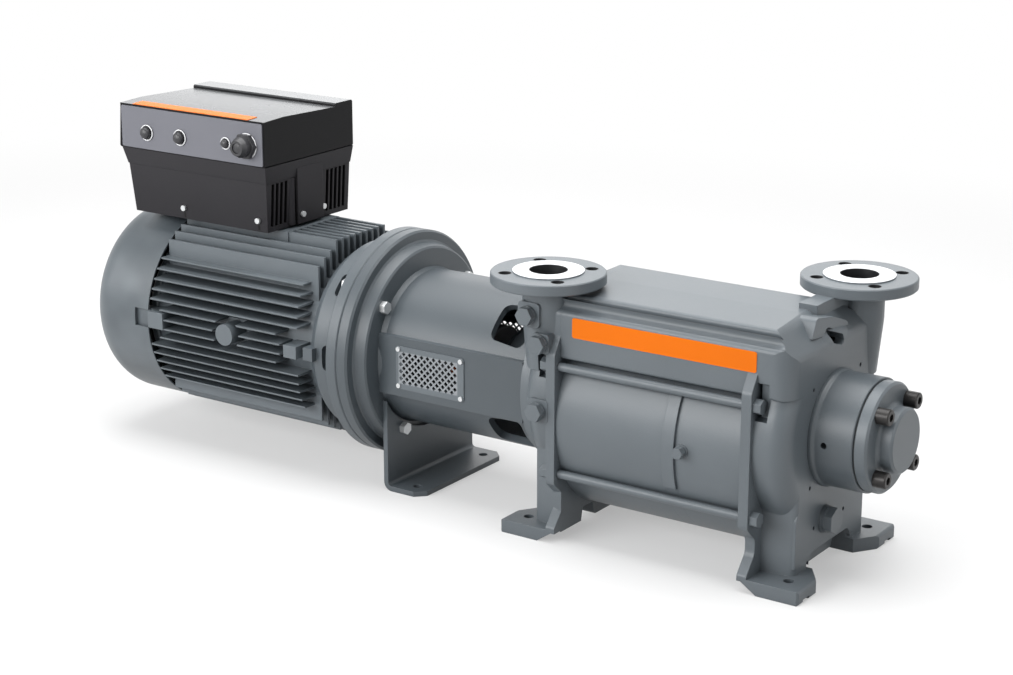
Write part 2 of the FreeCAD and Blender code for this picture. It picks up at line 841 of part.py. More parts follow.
def drive_bearing_x():
    return lantern_joint - inner_barrel_length + 4


def free_bearing_x():
    return cover_joint - bearing_width - 10


def pump_shaft():
    seal_end = lantern_joint + seal_room - 1
    seal_start = free_end_face - seal_room + 1
    end = free_bearing_x() + bearing_width + 14
    profile = [
        (pump_hub_start() + 2, 0), (pump_hub_start() + 2, coupling_seat_radius - 2),
        (pump_hub_start() + 4, coupling_seat_radius), (drive_bearing_x() - 8, coupling_seat_radius),
        (drive_bearing_x() - 8, bearing_bore_radius), (drive_bearing_x() + bearing_width, bearing_bore_radius),
        (drive_bearing_x() + bearing_width, seal_seat_radius), (seal_end, seal_seat_radius),
        (seal_end, impeller_seat_radius), (seal_start, impeller_seat_radius),
        (seal_start, seal_seat_radius), (free_bearing_x(), seal_seat_radius),
        (free_bearing_x(), bearing_bore_radius), (end - 2, bearing_bore_radius),
        (end, bearing_bore_radius - 2), (end, 0),
    ]
    return turned_x(profile).cut(Part.makeCompound(pump_keys()))


# Sliding ring of a shaft seal, its nose towards the seat; drawn for the free end
def seal_face(nose):
    back = nose - seal_face_length
    return turned_x([
        (back, seal_seat_radius), (back, seal_radius - 2, 1), (nose - 5, seal_radius - 2, 1),
        (nose - 5, seal_radius - 6), (nose, seal_radius - 6), (nose, seal_seat_radius),
    ])


def free_seal_face():
    return seal_face(free_end_face - seal_seat_length - seat_gap)


def drive_seal_face():
    return flipped_x(seal_face(-lantern_joint - seal_seat_length - seat_gap))


def drive_seal_seat():
    x0 = lantern_joint
    return ring_x(seal_radius + 5, seal_seat_radius + running_clearance, x0, x0 + seal_seat_length)


def free_seal_seat():
    x1 = free_end_face
    return ring_x(seal_radius + 5, seal_seat_radius + running_clearance, x1 - seal_seat_length, x1)


def pump_bearing_inner_rings():
    return Part.makeCompound([ring_x(bearing_track_inner, bearing_bore_radius, x0, x0 + bearing_width)
                              for x0 in (drive_bearing_x(), free_bearing_x())])


def pump_bearing_outer_rings():
    return Part.makeCompound([ring_x(bearing_outer_radius, bearing_track_outer, x0, x0 + bearing_width)
                              for x0 in (drive_bearing_x(), free_bearing_x())])


# Sealed ball bearings of the motor: plain inner rings, outer rings with their dust shields
def motor_bearing_inner_rings():
    return Part.makeCompound([
        ring_x(motor_bearing_track_inner, motor_bearing_bore, x0, x0 + motor_bearing_width)
        for x0 in (motor_front_bearing_x(), motor_rear_bearing_x())])


def motor_bearing_outer_rings():
    rings = []
    for x0 in (motor_front_bearing_x(), motor_rear_bearing_x()):
        x1 = x0 + motor_bearing_width
        lip = motor_bearing_track_inner + running_clearance
        thin = bearing_shield_thickness
        rings.append(turned_x([
            (x0, lip), (x0, motor_bearing_radius), (x1, motor_bearing_radius), (x1, lip), (x1 - thin, lip),
            (x1 - thin, motor_bearing_track_outer), (x0 + thin, motor_bearing_track_outer), (x0 + thin, lip),
        ]))
    return Part.makeCompound(rings)


# Rollers held in their cage ring, one set for each pump bearing
def roller_set(x0):
    middle = (bearing_track_inner + bearing_track_outer) / 2
    radius = (bearing_track_outer - bearing_track_inner) / 2 - roller_clearance
    roller = rod_x(radius, x0 + 2, x0 + bearing_width - 2, 0, shaft_height + middle)
    cage = ring_x(middle + 1.5, middle - 1.5, x0 + 4, x0 + bearing_width - 4)
    return joined(cage, *around_shaft(roller, roller_count))


def roller_sets():
    return Part.makeCompound([roller_set(drive_bearing_x()), roller_set(free_bearing_x())])


# Bearing housing on the free end, with a lip that centres the cover
def free_end_bearing_housing():
    bore = bearing_outer_radius
    step = free_bearing_x()
    body = turned_x([
        (free_end_face, seal_radius + 2), (free_end_face, housing_root_radius),
        (free_end_face + 5, housing_root_radius, 3), (free_end_face + 9, housing_radius, 3),
        (cover_joint, housing_radius, 1), (cover_joint, bore),
        (step, bore), (step, bearing_track_outer - 2), (step - 8, bearing_track_outer - 2),
        (step - 8, seal_radius + 2),
    ])
    grease_hole = Part.makeCylinder(grease_hole_radius, 50, vec(free_end_face + 23, 0, shaft_height), vec(0, -1, 0))
    grease_hole.translate(vec(0, -housing_radius + 12, 0))
    return body.cut(grease_hole)


def bearing_cover():
    lip = bearing_outer_radius - seat_gap
    inside = bearing_track_outer - 1
    seat = cover_joint + gasket_thickness
    body = turned_x([
        (free_bearing_x() + bearing_width, inside), (free_bearing_x() + bearing_width, lip),
        (seat, lip), (seat, cover_radius, 1), (cover_face, cover_radius, 3),
        (cover_face, cap_radius + 4, 3), (cover_face + 4, cap_radius, 2), (cap_end, cap_radius, 3),
        (cap_end, 0), (cap_end - 12, 0), (cap_end - 12, inside, 4),
    ])
    return body


def cover_gasket():
    return ring_x(cover_radius - 1, bearing_outer_radius + 1, cover_joint, cover_joint + gasket_thickness)


def cover_screws():
    reach = cover_screw_pcd / 2 * math.cos(math.radians(45))
    return Part.makeCompound([
        socket_screw(screw_head_radius, screw_head_length,
                     vec(cover_face, i * reach, shaft_height + j * reach), vec(1, 0, 0))
        for i in (-1, 1) for j in (-1, 1)])


# Drive-end bearing housing, bolted to the casing inside the lantern
def drive_end_bearing_housing():
    back = lantern_joint - inner_barrel_length
    step = drive_bearing_x() + bearing_width
    body = turned_x([
        (back, bearing_outer_radius), (back, inner_barrel_radius, 2),
        (lantern_joint - inner_flange_thickness - 14, inner_barrel_radius),
        (lantern_joint - inner_flange_thickness, inner_barrel_radius + 14),
        (lantern_joint - inner_flange_thickness, inner_flange_radius, 1),
        (lantern_joint, inner_flange_radius), (lantern_joint, seal_radius + 2),
        (step + 8, seal_radius + 2), (step + 8, bearing_track_outer - 2), (step, bearing_track_outer - 2),
        (step, bearing_outer_radius),
    ])
    ribs = around_shaft(
        prism_y([(back + 20, shaft_height + inner_barrel_radius - 2),
                 (lantern_joint - inner_flange_thickness + 1, shaft_height + inner_barrel_radius - 2),
                 (lantern_joint - inner_flange_thickness + 1, shaft_height + inner_flange_radius - 10)],
                -4, 4), 4, 0)
    return joined(body, *ribs)


def drive_end_bearing_cover():
    back = lantern_joint - inner_barrel_length
    return turned_x([
        (back - inner_cover_thickness, bearing_bore_radius + 1.5),
        (back - inner_cover_thickness, inner_barrel_radius - 1, 2), (back, inner_barrel_radius - 1),
        (back, bearing_outer_radius - seat_gap), (drive_bearing_x(), bearing_outer_radius - seat_gap),
        (drive_bearing_x(), bearing_track_outer - 1), (back, bearing_bore_radius + 1.5),
    ])


# Bolt heads that hold the lantern and the inner housing to the casing
def lantern_bolts():
    reach = (lantern_foot_flange_inner + lantern_radius - lantern_wall) / 2
    seat = lantern_joint - lantern_foot_flange_thickness
    outer = around_shaft(hexagon(13, vec(seat, 0, shaft_height + reach), vec(-1, 0, 0), 8), 8, 11)
    inner_seat = lantern_joint - inner_flange_thickness
    inner = around_shaft(hexagon(13, vec(inner_seat, 0, shaft_height + inner_flange_radius - 10),
                                 vec(-1, 0, 0), 8), 4, 45)
    return Part.makeCompound(outer + inner)


# Four bolts on the lantern ring; the lower two also hold the foot bracket
def lantern_ring_bolts():
    reach = (lantern_ring_radius + lantern_radius) / 2
    heads = []
    for angle, seat in ((38, bracket_face), (-58, bracket_face + bracket_thickness)):
        turn = math.radians(angle)
        for side in (-1, 1):
            start = vec(seat, side * reach * math.cos(turn), shaft_height + reach * math.sin(turn))
            heads.append(hexagon(17, start, vec(1, 0, 0), 9))
    return Part.makeCompound(heads)


# Rounded opening through the tube wall, turned to its place
def lantern_window(degrees):
    x1 = lantern_joint - lantern_foot_flange_thickness
    x0 = x1 - window_length
    half = window_width / 2
    opening = prism_z([(x0, -half * 0.8, 12), (x1, -half, 12), (x1, half, 12), (x0, half * 0.8, 12)],
                      shaft_height + lantern_radius - 45, shaft_height + lantern_radius + 5)
    return turned_about_shaft(opening, degrees)


def guard_x0():
    return motor_joint + guard_from_flange


def guard_opening():
    margin = 10
    x0, x1 = guard_x0() + margin, guard_x0() + guard_length - margin
    z0, z1 = shaft_height - guard_height / 2 + margin, shaft_height + guard_height / 2 - margin
    return prism_y([(x0, z0, 8), (x1, z0, 8), (x1, z1, 8), (x0, z1, 8)],
                   -lantern_pad_reach - 5, lantern_pad_reach + 5)


# Lantern: the barrel, and the windowed ring welded to its pump end as a second solid
def lantern():
    front = motor_joint
    shell = turned_x([
        (front, 125), (front, lantern_flange_radius, 2),
        (front + lantern_flange_thickness, lantern_flange_radius, 3),
        (front + lantern_flange_thickness, lantern_ring_radius + 6, 3), (bracket_face, lantern_ring_radius, 3),
        (bracket_face, lantern_radius + 3), (bracket_face + 8, lantern_radius),
        (lantern_joint, lantern_radius), (lantern_joint, lantern_foot_flange_inner),
        (lantern_joint - lantern_foot_flange_thickness, lantern_foot_flange_inner),
        (lantern_joint - lantern_foot_flange_thickness, lantern_radius - lantern_wall, 1),
        (bracket_face - 6, lantern_radius - lantern_wall), (front + 6, 125),
    ])
    half = lantern_pad_height / 2
    inside = lantern_radius - lantern_wall
    pads = []
    for side in (-1, 1):
        block = box(bracket_face - 2, lantern_joint, min(side * 80, side * lantern_pad_reach),
                    max(side * 80, side * lantern_pad_reach), shaft_height - half, shaft_height + half)
        pads.append(block.cut(rod_x(inside, bracket_face - 4, lantern_joint + 1)))
    windows = [lantern_window(angle) for angle in (-42, 42, 132, -132)]
    slot = box(front - 1, front + lantern_flange_thickness + 1, -7, 7,
               shaft_height + lantern_flange_radius - 34, shaft_height + lantern_flange_radius - 18)
    slots = around_shaft(slot, 4, 45)
    whole = without(joined(shell, *pads), guard_opening(), *windows, *slots)
    weld = lantern_joint - lantern_foot_flange_thickness - window_length - lantern_weld_from_window
    reach = lantern_flange_radius + 1
    pump_side = box(weld, lantern_joint + 1, -reach, reach, shaft_height - reach, shaft_height + reach)
    return Part.makeCompound([whole.cut(pump_side), whole.common(pump_side)])


# Perforated sheet over the coupling opening
def lantern_guard(side):
    x0 = guard_x0()
    z0 = shaft_height - guard_height / 2
    near = lantern_pad_reach
    sheet = prism_y([(x0, z0, 3), (x0 + guard_length, z0, 3), (x0 + guard_length, z0 + guard_height, 3),
                     (x0, z0 + guard_height, 3)], near, near + guard_thickness)
    reach = guard_hole / math.sqrt(2)
    holes = []
    columns = int((guard_length - 2 * guard_margin) / guard_pitch) * 2
    rows = int((guard_height - 2 * guard_margin) / guard_pitch)
    for column in range(columns + 1):
        x = x0 + guard_margin + column * guard_pitch / 2
        for row in range(rows + column % 2):
            z = shaft_height + (row - (rows - 1 + column % 2) / 2) * guard_pitch
            holes.append(prism_y([(x - reach, z), (x, z - reach), (x + reach, z), (x, z + reach)],
                                 near - 1, near + guard_thickness + 1))
    sheet = without(sheet, *holes)
    return sheet if side > 0 else mirrored_y(sheet)


def guard_screws():
    x0, x1 = guard_x0() + 5, guard_x0() + guard_length - 5
    z0, z1 = shaft_height - guard_height / 2 + 5, shaft_height + guard_height / 2 - 5
    reach = lantern_pad_reach + guard_thickness
    heads = []
    for side in (-1, 1):
        for x in (x0, x1):
            for z in (z0, z1):
                heads.append(Part.makeCylinder(3.6, 2.6, vec(x, side * reach, z), vec(0, side, 0)))
    return Part.makeCompound(heads)


# Bent foot plate: upright leg on the lantern ring, base on the floor
def foot_bracket():
    x0 = bracket_face
    thick = bracket_thickness
    side_view = [
        (x0, bracket_height), (x0, 0, bracket_bend), (x0 + bracket_reach, 0), (x0 + bracket_reach, thick),
        (x0 + thick, thick, bracket_bend - thick), (x0 + thick, bracket_height),
    ]
    plate = prism_y(side_view, -bracket_half_width, bracket_half_width)
    relief = rod_x(lantern_radius + 8, x0 - 1, x0 + thick + 1)
    end = x0 + bracket_reach
    corners = [prism_z([(end + 1, side * (bracket_half_width + 1)),
                        (end - bracket_corner, side * (bracket_half_width + 1)),
                        (end + 1, side * (bracket_half_width - bracket_corner))], -1, thick + 1)
               for side in (-1, 1)]
    holes = [rod_z(bracket_hole_dia / 2, -1, thick + 1, x0 + bracket_hole_reach, side * bracket_hole_span / 2)
             for side in (-1, 1)]
    return without(plate, relief, *corners, *holes)


# Coupling hub with claws that mesh with the spider
def coupling_hub(x0, x1, bore, claws_at, first):
    hub = turned_x([(x0, bore), (x0, hub_outer_radius, 2), (x1, hub_outer_radius, 2), (x1, bore)])
    claw = kidney(claw_inner, claw_outer, -claw_half_turn, claw_half_turn, claws_at,
                  claws_at + spider_thickness - 1)
    return joined(hub, *around_shaft(claw, claw_count, first))


def coupling_spider():
    x0 = coupling_middle - spider_thickness / 2 + seat_gap
    x1 = coupling_middle + spider_thickness / 2 - seat_gap
    middle = (claw_inner + claw_outer) / 2
    between = math.radians(90.0 / claw_count - claw_half_turn)
    half = middle * math.sin(between) - (claw_outer - claw_inner) / 2 - seat_gap
    arm = box(x0, x1, claw_inner - 14, claw_outer - 2, shaft_height - half, shaft_height + half)
    core = ring_x(claw_inner - 6, claw_inner - 18, x0, x1)
    return joined(core, *around_shaft(arm, 2 * claw_count, 90.0 / claw_count))


def motor_hub():
    x1 = coupling_middle - spider_thickness / 2
    hub = coupling_hub(x1 - hub_length, x1, motor_shaft_radius, x1, 0)
    return hub.cut(key_bar(x1 - hub_length + 4, x1 - 8, motor_shaft_radius))


def pump_hub():
    x0 = pump_hub_start()
    hub = coupling_hub(x0, x0 + hub_length, coupling_seat_radius, x0 - spider_thickness + 1, 60)
    return hub.cut(key_bar(x0 + 4, x0 + hub_length - 4, coupling_seat_radius))


# Height of a round outline above its level axis at a given distance from it
def rise(radius, across):
    return math.sqrt(max(radius ** 2 - across ** 2, 0))


def both_sides(low, high):
    return [(low, high), (-high, -low)]


# Level fins on both sides; the four middle ones stop short of the lugs
def side_fins():
    x0, x1 = frame_end + cowl_overlap + fin_gap, shield_joint
    fins = []
    for level in range(side_fin_count):
        across = (level - (side_fin_count - 1) / 2) * side_fin_pitch
        z = across + side_fin_middle
        root = rise(frame_radius, z) - 4
        tip = rise(side_fin_tip_radius, z)
        start, end = x0, x1 - 8 - abs(z) * 0.17
        if abs(across) < 2 * side_fin_pitch:
            start, end = x0 + 22, x1 - 42 - abs(across) * 0.6
        half = fin_thickness / 2
        for side in (-1, 1):
            outline = [(root * side, shaft_height + z - half), (tip * side, shaft_height + z - half + 1),
                       (tip * side, shaft_height + z + half - 1), (root * side, shaft_height + z + half)]
            fins.append(prism_x(outline, start, end))
    room = Part.makeCompound([rod_along_y(motor_boss_room, y0, y1, motor_boss_x(), motor_boss_z())
                              for y0, y1 in both_sides(frame_radius, side_fin_tip_radius + 2)])
    return [fin.cut(room) for fin in fins]


# Upright fins above and below; the ones beside the pad rise to its level
def upright_fins():
    x0, x1 = frame_end + cowl_overlap + fin_gap, shield_joint - 10
    half = fin_thickness / 2
    fins = []
    columns = round(upright_fin_reach / upright_fin_pitch)
    for column in range(-columns, columns + 1):
        y = column * upright_fin_pitch
        root = rise(frame_radius, y) - 4
        low = shaft_height - rise(bottom_fin_tip_radius, y)
        high = shaft_height + rise(top_fin_tip_radius, y)
        if abs(y) < pad_half_width:
            high = pad_top
        fins.append(box(x0, x1, y - half, y + half, low, shaft_height - root))
        fins.append(box(x0, x1, y - half, y + half, shaft_height + root, high))
    return fins


# Lugs that hold the cowl at one end and meet the shield at the other: x0, x1, z0, z1
def motor_lugs():
    start = frame_end + cowl_overlap + fin_gap
    return [(start, start + 31, shaft_height - 6, shaft_height + 21),
            (shield_joint - 37, shield_joint - 12, shaft_height - 7, shaft_height + 13)]


# Motor frame: tube with its fins, the pad under the drive, side bosses and lugs
def motor_frame():
    x0, x1 = frame_end, shield_joint
    tube = ring_x(frame_radius, stator_radius, x0, x1)
    inner = frame_radius - 4
    pad = box(x0 + 40, drive_x1 + 4, -pad_half_width, pad_half_width, shaft_height + 105, pad_top)
    riser = box(drive_x0 + 90, drive_x1 - 20, -56, 56, pad_top, drive_bottom)
    bosses = []
    for y0, y1 in both_sides(inner, motor_boss_reach):
        bosses.append(rod_along_y(motor_boss_radius, y0, y1, motor_boss_x(), motor_boss_z()))
    for y0, y1 in both_sides(inner, motor_lug_reach):
        bosses += [box(start, end, y0, y1, z0, z1) for start, end, z0, z1 in motor_lugs()]
    start, end, z0, z1 = motor_lugs()[0]
    for y0, y1 in both_sides(frame_radius + 6, cowl_pocket_floor - cowl_wall - seat_gap):
        bosses.append(box(x0 - cowl_tongue, start + 1, y0, y1, z0, z1))
    body = joined(tube, pad, riser, *side_fins(), *upright_fins(), *bosses)
    return body.cut(rod_x(stator_radius, x0 - 1, x1 + 1))


def motor_boss_x():
    return frame_end + frame_length * 0.52


def motor_boss_z():
    return shaft_height + motor_boss_rise


def stator_core():
    return ring_x(stator_radius, rotor_radius + air_gap, frame_end + core_margin, shield_joint - core_margin)


# Winding heads standing out at both ends of the stator core
def stator_windings():
    heads = []
    for x0, x1 in ((frame_end + core_margin - winding_length, frame_end + core_margin),
                   (shield_joint - core_margin, shield_joint - core_margin + winding_length)):
        heads.append(turned_x([(x0, rotor_radius + 10, 3), (x0, stator_radius - 8, 3),
                               (x1, stator_radius - 8, 3), (x1, rotor_radius + 10, 3)]))
    return Part.makeCompound(heads)


def motor_front_bearing_x():
    return motor_joint - motor_flange_thickness - 12


def motor_rear_bearing_x():
    return frame_end - 14


# Drive-end shield with the mounting flange and pockets for the flange bolts
def motor_flange_shield():
    back = shield_joint
    front = motor_joint
    flange_back = front - motor_flange_thickness
    seat = motor_front_bearing_x()
    nose = seat + motor_bearing_width
    body = turned_x([
        (back, stator_radius), (back, frame_radius + 12, 3), (back + 14, shield_radius, 3),
        (flange_back, shield_radius), (flange_back, motor_flange_radius, 2),
        (front, motor_flange_radius, 2), (front, spigot_radius), (front + spigot_height, spigot_radius, 1),
        (front + spigot_height, spigot_radius - 9), (front - 6, spigot_radius - 9, 3),
        (front - 6, motor_bearing_radius + 8, 3), (nose + 5, motor_bearing_radius + 8),
        (nose + 5, motor_bearing_bore + 4), (nose, motor_bearing_bore + 4), (nose, motor_bearing_radius),
        (seat - 2, motor_bearing_radius), (seat - 2, motor_bearing_radius + 11, 3),
        (back + 22, stator_radius - 8, 3), (back + 8, stator_radius, 3),
    ])
    lugs = [box(back, back + 18, y0, y1, shaft_height - 6, shaft_height + 14)
            for y0, y1 in both_sides(frame_radius + 2, motor_lug_reach - 2)]
    body = joined(body, *lugs)
    half = shield_pocket_width / 2
    pocket = prism_z([(flange_back - 26, -half, 8), (flange_back, -half), (flange_back, half),
                      (flange_back - 26, half, 8)],
                     shaft_height + shield_pocket_floor, shaft_height + shield_radius + 10)
    return without(body, *around_shaft(pocket, shield_pocket_count, 22.5 + 22.5))


def motor_flange_bolts():
    seat = motor_joint - motor_flange_thickness
    start = vec(seat, 0, shaft_height + motor_flange_pcd / 2)
    return Part.makeCompound(around_shaft(hexagon(24, start, vec(-1, 0, 0), 11), 4, 45))


def motor_rear_shield():
    x1 = frame_end
    seat = motor_rear_bearing_x()
    return turned_x([
        (x1, stator_radius + 2), (x1, frame_radius + 4, 2), (x1 - 14, frame_radius + 4, 3),
        (seat - 10, frame_radius - 20),
        (seat - 10, motor_bearing_bore + 4), (seat - 4, motor_bearing_bore + 4), (seat - 4, motor_bearing_radius),
        (seat + motor_bearing_width, motor_bearing_radius),
        (seat + motor_bearing_width, motor_bearing_radius + 8), (x1 - 8, motor_bearing_radius + 16),
        (x1 - 4, stator_radius + 2),
    ])


def motor_shaft():
    front = motor_front_bearing_x()
    rear = motor_rear_bearing_x()
    bore = motor_bearing_bore
    end = motor_joint + motor_shaft_reach
    fan_end = frame_end - 78
    shaft = turned_x([
        (fan_end, 0), (fan_end, bore - 4), (rear, bore - 4), (rear, bore), (rear + motor_bearing_width, bore),
        (rear + motor_bearing_width, bore + 4), (front, bore + 4), (front, bore),
        (front + motor_bearing_width, bore), (front + motor_bearing_width, motor_shaft_radius),
        (end - 2, motor_shaft_radius), (end, motor_shaft_radius - 2), (end, 0),
    ])
    x1 = coupling_middle - spider_thickness / 2
    return shaft.cut(key_bar(x1 - hub_length + 4, x1 - 8, motor_shaft_radius))


def motor_key():
    x1 = coupling_middle - spider_thickness / 2
    return key_bar(x1 - hub_length + 4, x1 - 8, motor_shaft_radius)


# Laminated rotor with its end rings and small fan vanes
def rotor_core():
    x0, x1 = frame_end + core_margin, shield_joint - core_margin
    seat = motor_bearing_bore + 4
    body = turned_x([
        (x0 - 16, rotor_radius - 22), (x0 - 16, rotor_radius - 4, 3), (x0, rotor_radius - 4),
        (x0, rotor_radius), (x1, rotor_radius), (x1, rotor_radius - 4), (x1 + 16, rotor_radius - 4, 3),
        (x1 + 16, rotor_radius - 22), (x1, rotor_radius - 22), (x1, seat), (x0, seat), (x0, rotor_radius - 22),
    ])
    return body


def cooling_fan():
    x0 = frame_end - 74
    bore = motor_bearing_bore - 4
    hub = ring_x(bore + 12, bore, x0, x0 + 38)
    disc = ring_x(fan_radius - 20, bore + 8, x0 + 30, x0 + 34)
    blade = box(x0 + 34 - fan_width, x0 + 34, -1.5, 1.5, shaft_height + bore + 9, shaft_height + fan_radius)
    return joined(hub, disc, *around_shaft(blade, fan_blade_count))


# Solid of revolution inside one skin of the cowl, pressed in over the frame's side lugs
def cowl_skin(inset):
    x1 = frame_end + cowl_overlap
    x0 = x1 - cowl_length
    outer = cowl_radius - inset
    skin = turned_x([(x1 + inset, 0), (x1 + inset, outer), (x0 + 30 + inset, outer, 50 - inset),
                     (x0 + inset, outer - 60, 40 - inset), (x0 + inset, 0)])
    pockets = [box(x1 - cowl_pocket_length - inset, x1 + inset + 1, y0, y1,
                   shaft_height - 8 - inset, shaft_height + 21 + inset)
               for y0, y1 in both_sides(cowl_pocket_floor - inset, cowl_radius + 1)]
    return without(skin, *pockets)


# Domed fan cowl with a grille of curved slots in its end
def fan_cowl():
    shell = cowl_skin(0).cut(cowl_skin(cowl_wall))
    end = frame_end + cowl_overlap - cowl_length
    slots = []
    for ring in range(grille_rings):
        radius = grille_inner + ring * grille_pitch
        slot = kidney(radius, radius + grille_slot, 12, 78, end - 5, end + 12)
        slots += around_shaft(slot, 4)
    return without(shell, *slots)


# Block between two level rectangles; insets are (at the back end, at the sides)
# Insets are those of the two ends, the near side and the far side
def tapered_block(low, low_inset, high, high_inset):
    wires = []
    for z, (ends, near, far) in ((low, low_inset), (high, high_inset)):
        x0, x1 = drive_x0 + ends, drive_x1 - ends
        y0, y1 = near - drive_half_width, drive_half_width - far
        points = [vec(x0, y0, z), vec(x1, y0, z), vec(x1, y1, z), vec(x0, y1, z)]
        wires.append(Part.makePolygon(points + [points[0]]))
    return Part.makeLoft(wires, True, True)


def drive_under_lip():
    return [inset + drive_lip_step for inset in drive_lip_inset]


# Raised boss and round column in the middle of each end of the drive
def drive_end_boss(face, sense):
    reach = sense * drive_boss_reach
    x0, x1 = sorted((face - reach, face + reach))
    boss = box(x0, x1, drive_boss_low, drive_boss_high, drive_bottom + 3, drive_lip + 14)
    column = rod_z(6.5, drive_bottom + 3, drive_lip - 1, face, drive_boss_low - 7)
    return boss, column


# Lower housing of the frequency drive: tapered tub with cooling slots in its ends
def drive_base():
    upper = tapered_block(drive_lip, drive_lip_inset, drive_split, (0, 0, 0))
    lower = tapered_block(drive_bottom, drive_foot_inset, drive_lip, drive_under_lip())
    deep = drive_foot_inset[0] + drive_fin_depth
    slots, bosses = [], []
    for x0, x1 in ((drive_x0, drive_x0 + deep), (drive_x1 - deep, drive_x1)):
        for side, start, count in ((-1, drive_near_slots_from, drive_near_slots),
                                   (1, drive_far_slots_from, drive_far_slots)):
            for i in range(count):
                y0, y1 = sorted((side * (start + i * drive_fin_pitch),
                                 side * (start + i * drive_fin_pitch + drive_fin_gap)))
                slots.append(box(x0, x1, y0, y1, drive_bottom + 8, drive_lip - 3))
    for face, sense in ((drive_x0 + drive_foot_inset[0], -1), (drive_x1 - drive_foot_inset[0], 1)):
        bosses += drive_end_boss(face, sense)
    hollow = box(drive_x0 + 34, drive_x1 - 34, -drive_half_width + 26, drive_half_width - 26,
                 drive_bottom + 30, drive_split + 1)
    return without(joined(upper, lower, *bosses), hollow, *slots)


# Cover of the drive: raised step along its far edge, flared foot at its back end
def drive_cover():
    z0, z1 = drive_split, drive_top
    near, far = -drive_half_width, drive_half_width
    flare = drive_x0 - drive_cover_flare
    wall = drive_wall
    ceiling = z1 - wall - drive_dip
    outside = prism_y([(flare, z0, 2), (drive_x1, z0, 2), (drive_x1, ceiling), (drive_x0, ceiling)], near, far)
    step = far - drive_step_width
    crest = prism_x([(near, ceiling - 1), (near, z1), (near + drive_crown_width, z1 + drive_crown, 60),
                     (step, z1 - drive_dip), (step, z1 + drive_step_top, 2),
                     (far, z1 + drive_step_top, 4), (far, ceiling - 1)], drive_x0, drive_x1)
    inside = box(drive_x0 + wall, drive_x1 - wall, near + wall, far - wall, z0 - 1, ceiling)
    return joined(outside, crest).cut(inside)


def drive_front_panel():
    near = -drive_half_width
    x0, x1 = drive_x0 + 3, drive_x1 - 3
    z0, z1 = drive_split + 2, drive_top - 3
    panel = prism_y([(x0, z0, 2), (x1, z0, 2), (x1, z1, 2), (x0, z1, 2)], near - 2, near)
    return panel


def gland_place():
    return drive_x1 - 33.0, 506.0


# Places of the blanking plugs as (x, z); the last is the small one beside the gland
def blanking_places():
    return [(drive_x1 - 241.0, 503.0), (drive_x1 - 171.0, 503.0), (drive_x1 - 76.0, 505.0)]


# Cable gland: ring, nut, body and dome turned towards the near side
def drive_gland():
    x, z = gland_place()
    near = -drive_half_width - 2
    out = vec(0, -1, 0)
    ring = Part.makeCylinder(gland_ring_radius, 2, vec(x, near, z), out)
    nut = hexagon(gland_flats, vec(x, near - 2, z), out, 8)
    neck = Part.makeCylinder(gland_body_radius, 8, vec(x, near - 10, z), out)
    dome = Part.makeCone(gland_body_radius, gland_end_radius + 2, 8, vec(x, near - 18, z), out)
    bore = Part.makeCylinder(gland_end_radius - 2, 30, vec(x, near - 14, z), out)
    return joined(ring, nut, neck, dome).cut(bore)


def blanking_plugs():
    near = -drive_half_width - 2
    out = vec(0, -1, 0)
    plugs = []
    for number, (x, z) in enumerate(blanking_places()):
        share = 0.7 if number == 2 else 1.0
        rim = Part.makeCylinder(blanking_ring_radius * share, 1.5, vec(x, near, z), out)
        button = Part.makeCylinder(blanking_plug_radius * share, 4, vec(x, near, z), out)
        plugs.append(joined(rim, button))
    return Part.makeCompound(plugs)


# Bare strip along the near edge of the drive's top cover, lying on its slope
def drive_name_strip():
    low = drive_x0 + 26
    edge = -drive_half_width
    z0, z1 = [drive_top + across * drive_crown / drive_crown_width + 0.02 for across in (1, 23)]
    outline = [(edge + 1, z0), (edge + 23, z1), (edge + 23, z1 + label_thickness), (edge + 1, z0 + label_thickness)]
    return prism_x(outline, low, low + drive_strip_length)


# Screws that close the tub, two on each side and two on each end
def drive_screws():
    height = drive_bottom + drive_screw_height
    share = (drive_screw_height + drive_screw_radius) / (drive_lip - drive_bottom)
    ends, near, far = [foot + share * (lip - foot) for foot, lip in zip(drive_foot_inset, drive_under_lip())]
    boss_face = drive_boss_reach - drive_foot_inset[0]
    heads = []
    for side, inset in ((-1, near), (1, far)):
        for x in (drive_x1 - 182, drive_x1 - 28):
            heads.append(Part.makeCylinder(drive_screw_radius, 4,
                                           vec(x, side * (drive_half_width - inset), height), vec(0, side, 0)))
    for end, sense in ((drive_x0, -1), (drive_x1, 1)):
        for x, y in ((end - sense * ends, 40), (end + sense * boss_face, -20)):
            heads.append(Part.makeCylinder(drive_screw_radius, 4, vec(x, y, height), vec(sense, 0, 0)))
    return Part.makeCompound(heads)


def cowl_screws():
    start = vec(frame_end + cowl_overlap - 8, 0, shaft_height + cowl_radius)
    return Part.makeCompound(around_shaft(Part.makeCylinder(4.5, 2.6, start, vec(0, 0, 1)), 2))


def drive_board():
    return box(drive_x0 + 40, drive_x1 - 40, -drive_half_width + 32, drive_half_width - 32,
               drive_bottom + 30, drive_bottom + 36)


def name_strip():
    x0 = drive_face + 19
    near = -duct_half_width
    return prism_y([(x0, label_low, 2), (x0 + strip_length, label_low, 2),
                    (x0 + strip_length, label_low + label_height, 2), (x0, label_low + label_height, 2)],
                   near - label_thickness, near)


def tie_rods():
    reach = clamp_depth + rod_nut_bore
    return Part.makeCompound([rod_x(rod_radius, drive_face - reach, free_face + reach, y, z)
                              for y in (-rod_y, rod_y) for z in (rod_low_z, rod_high_z)])


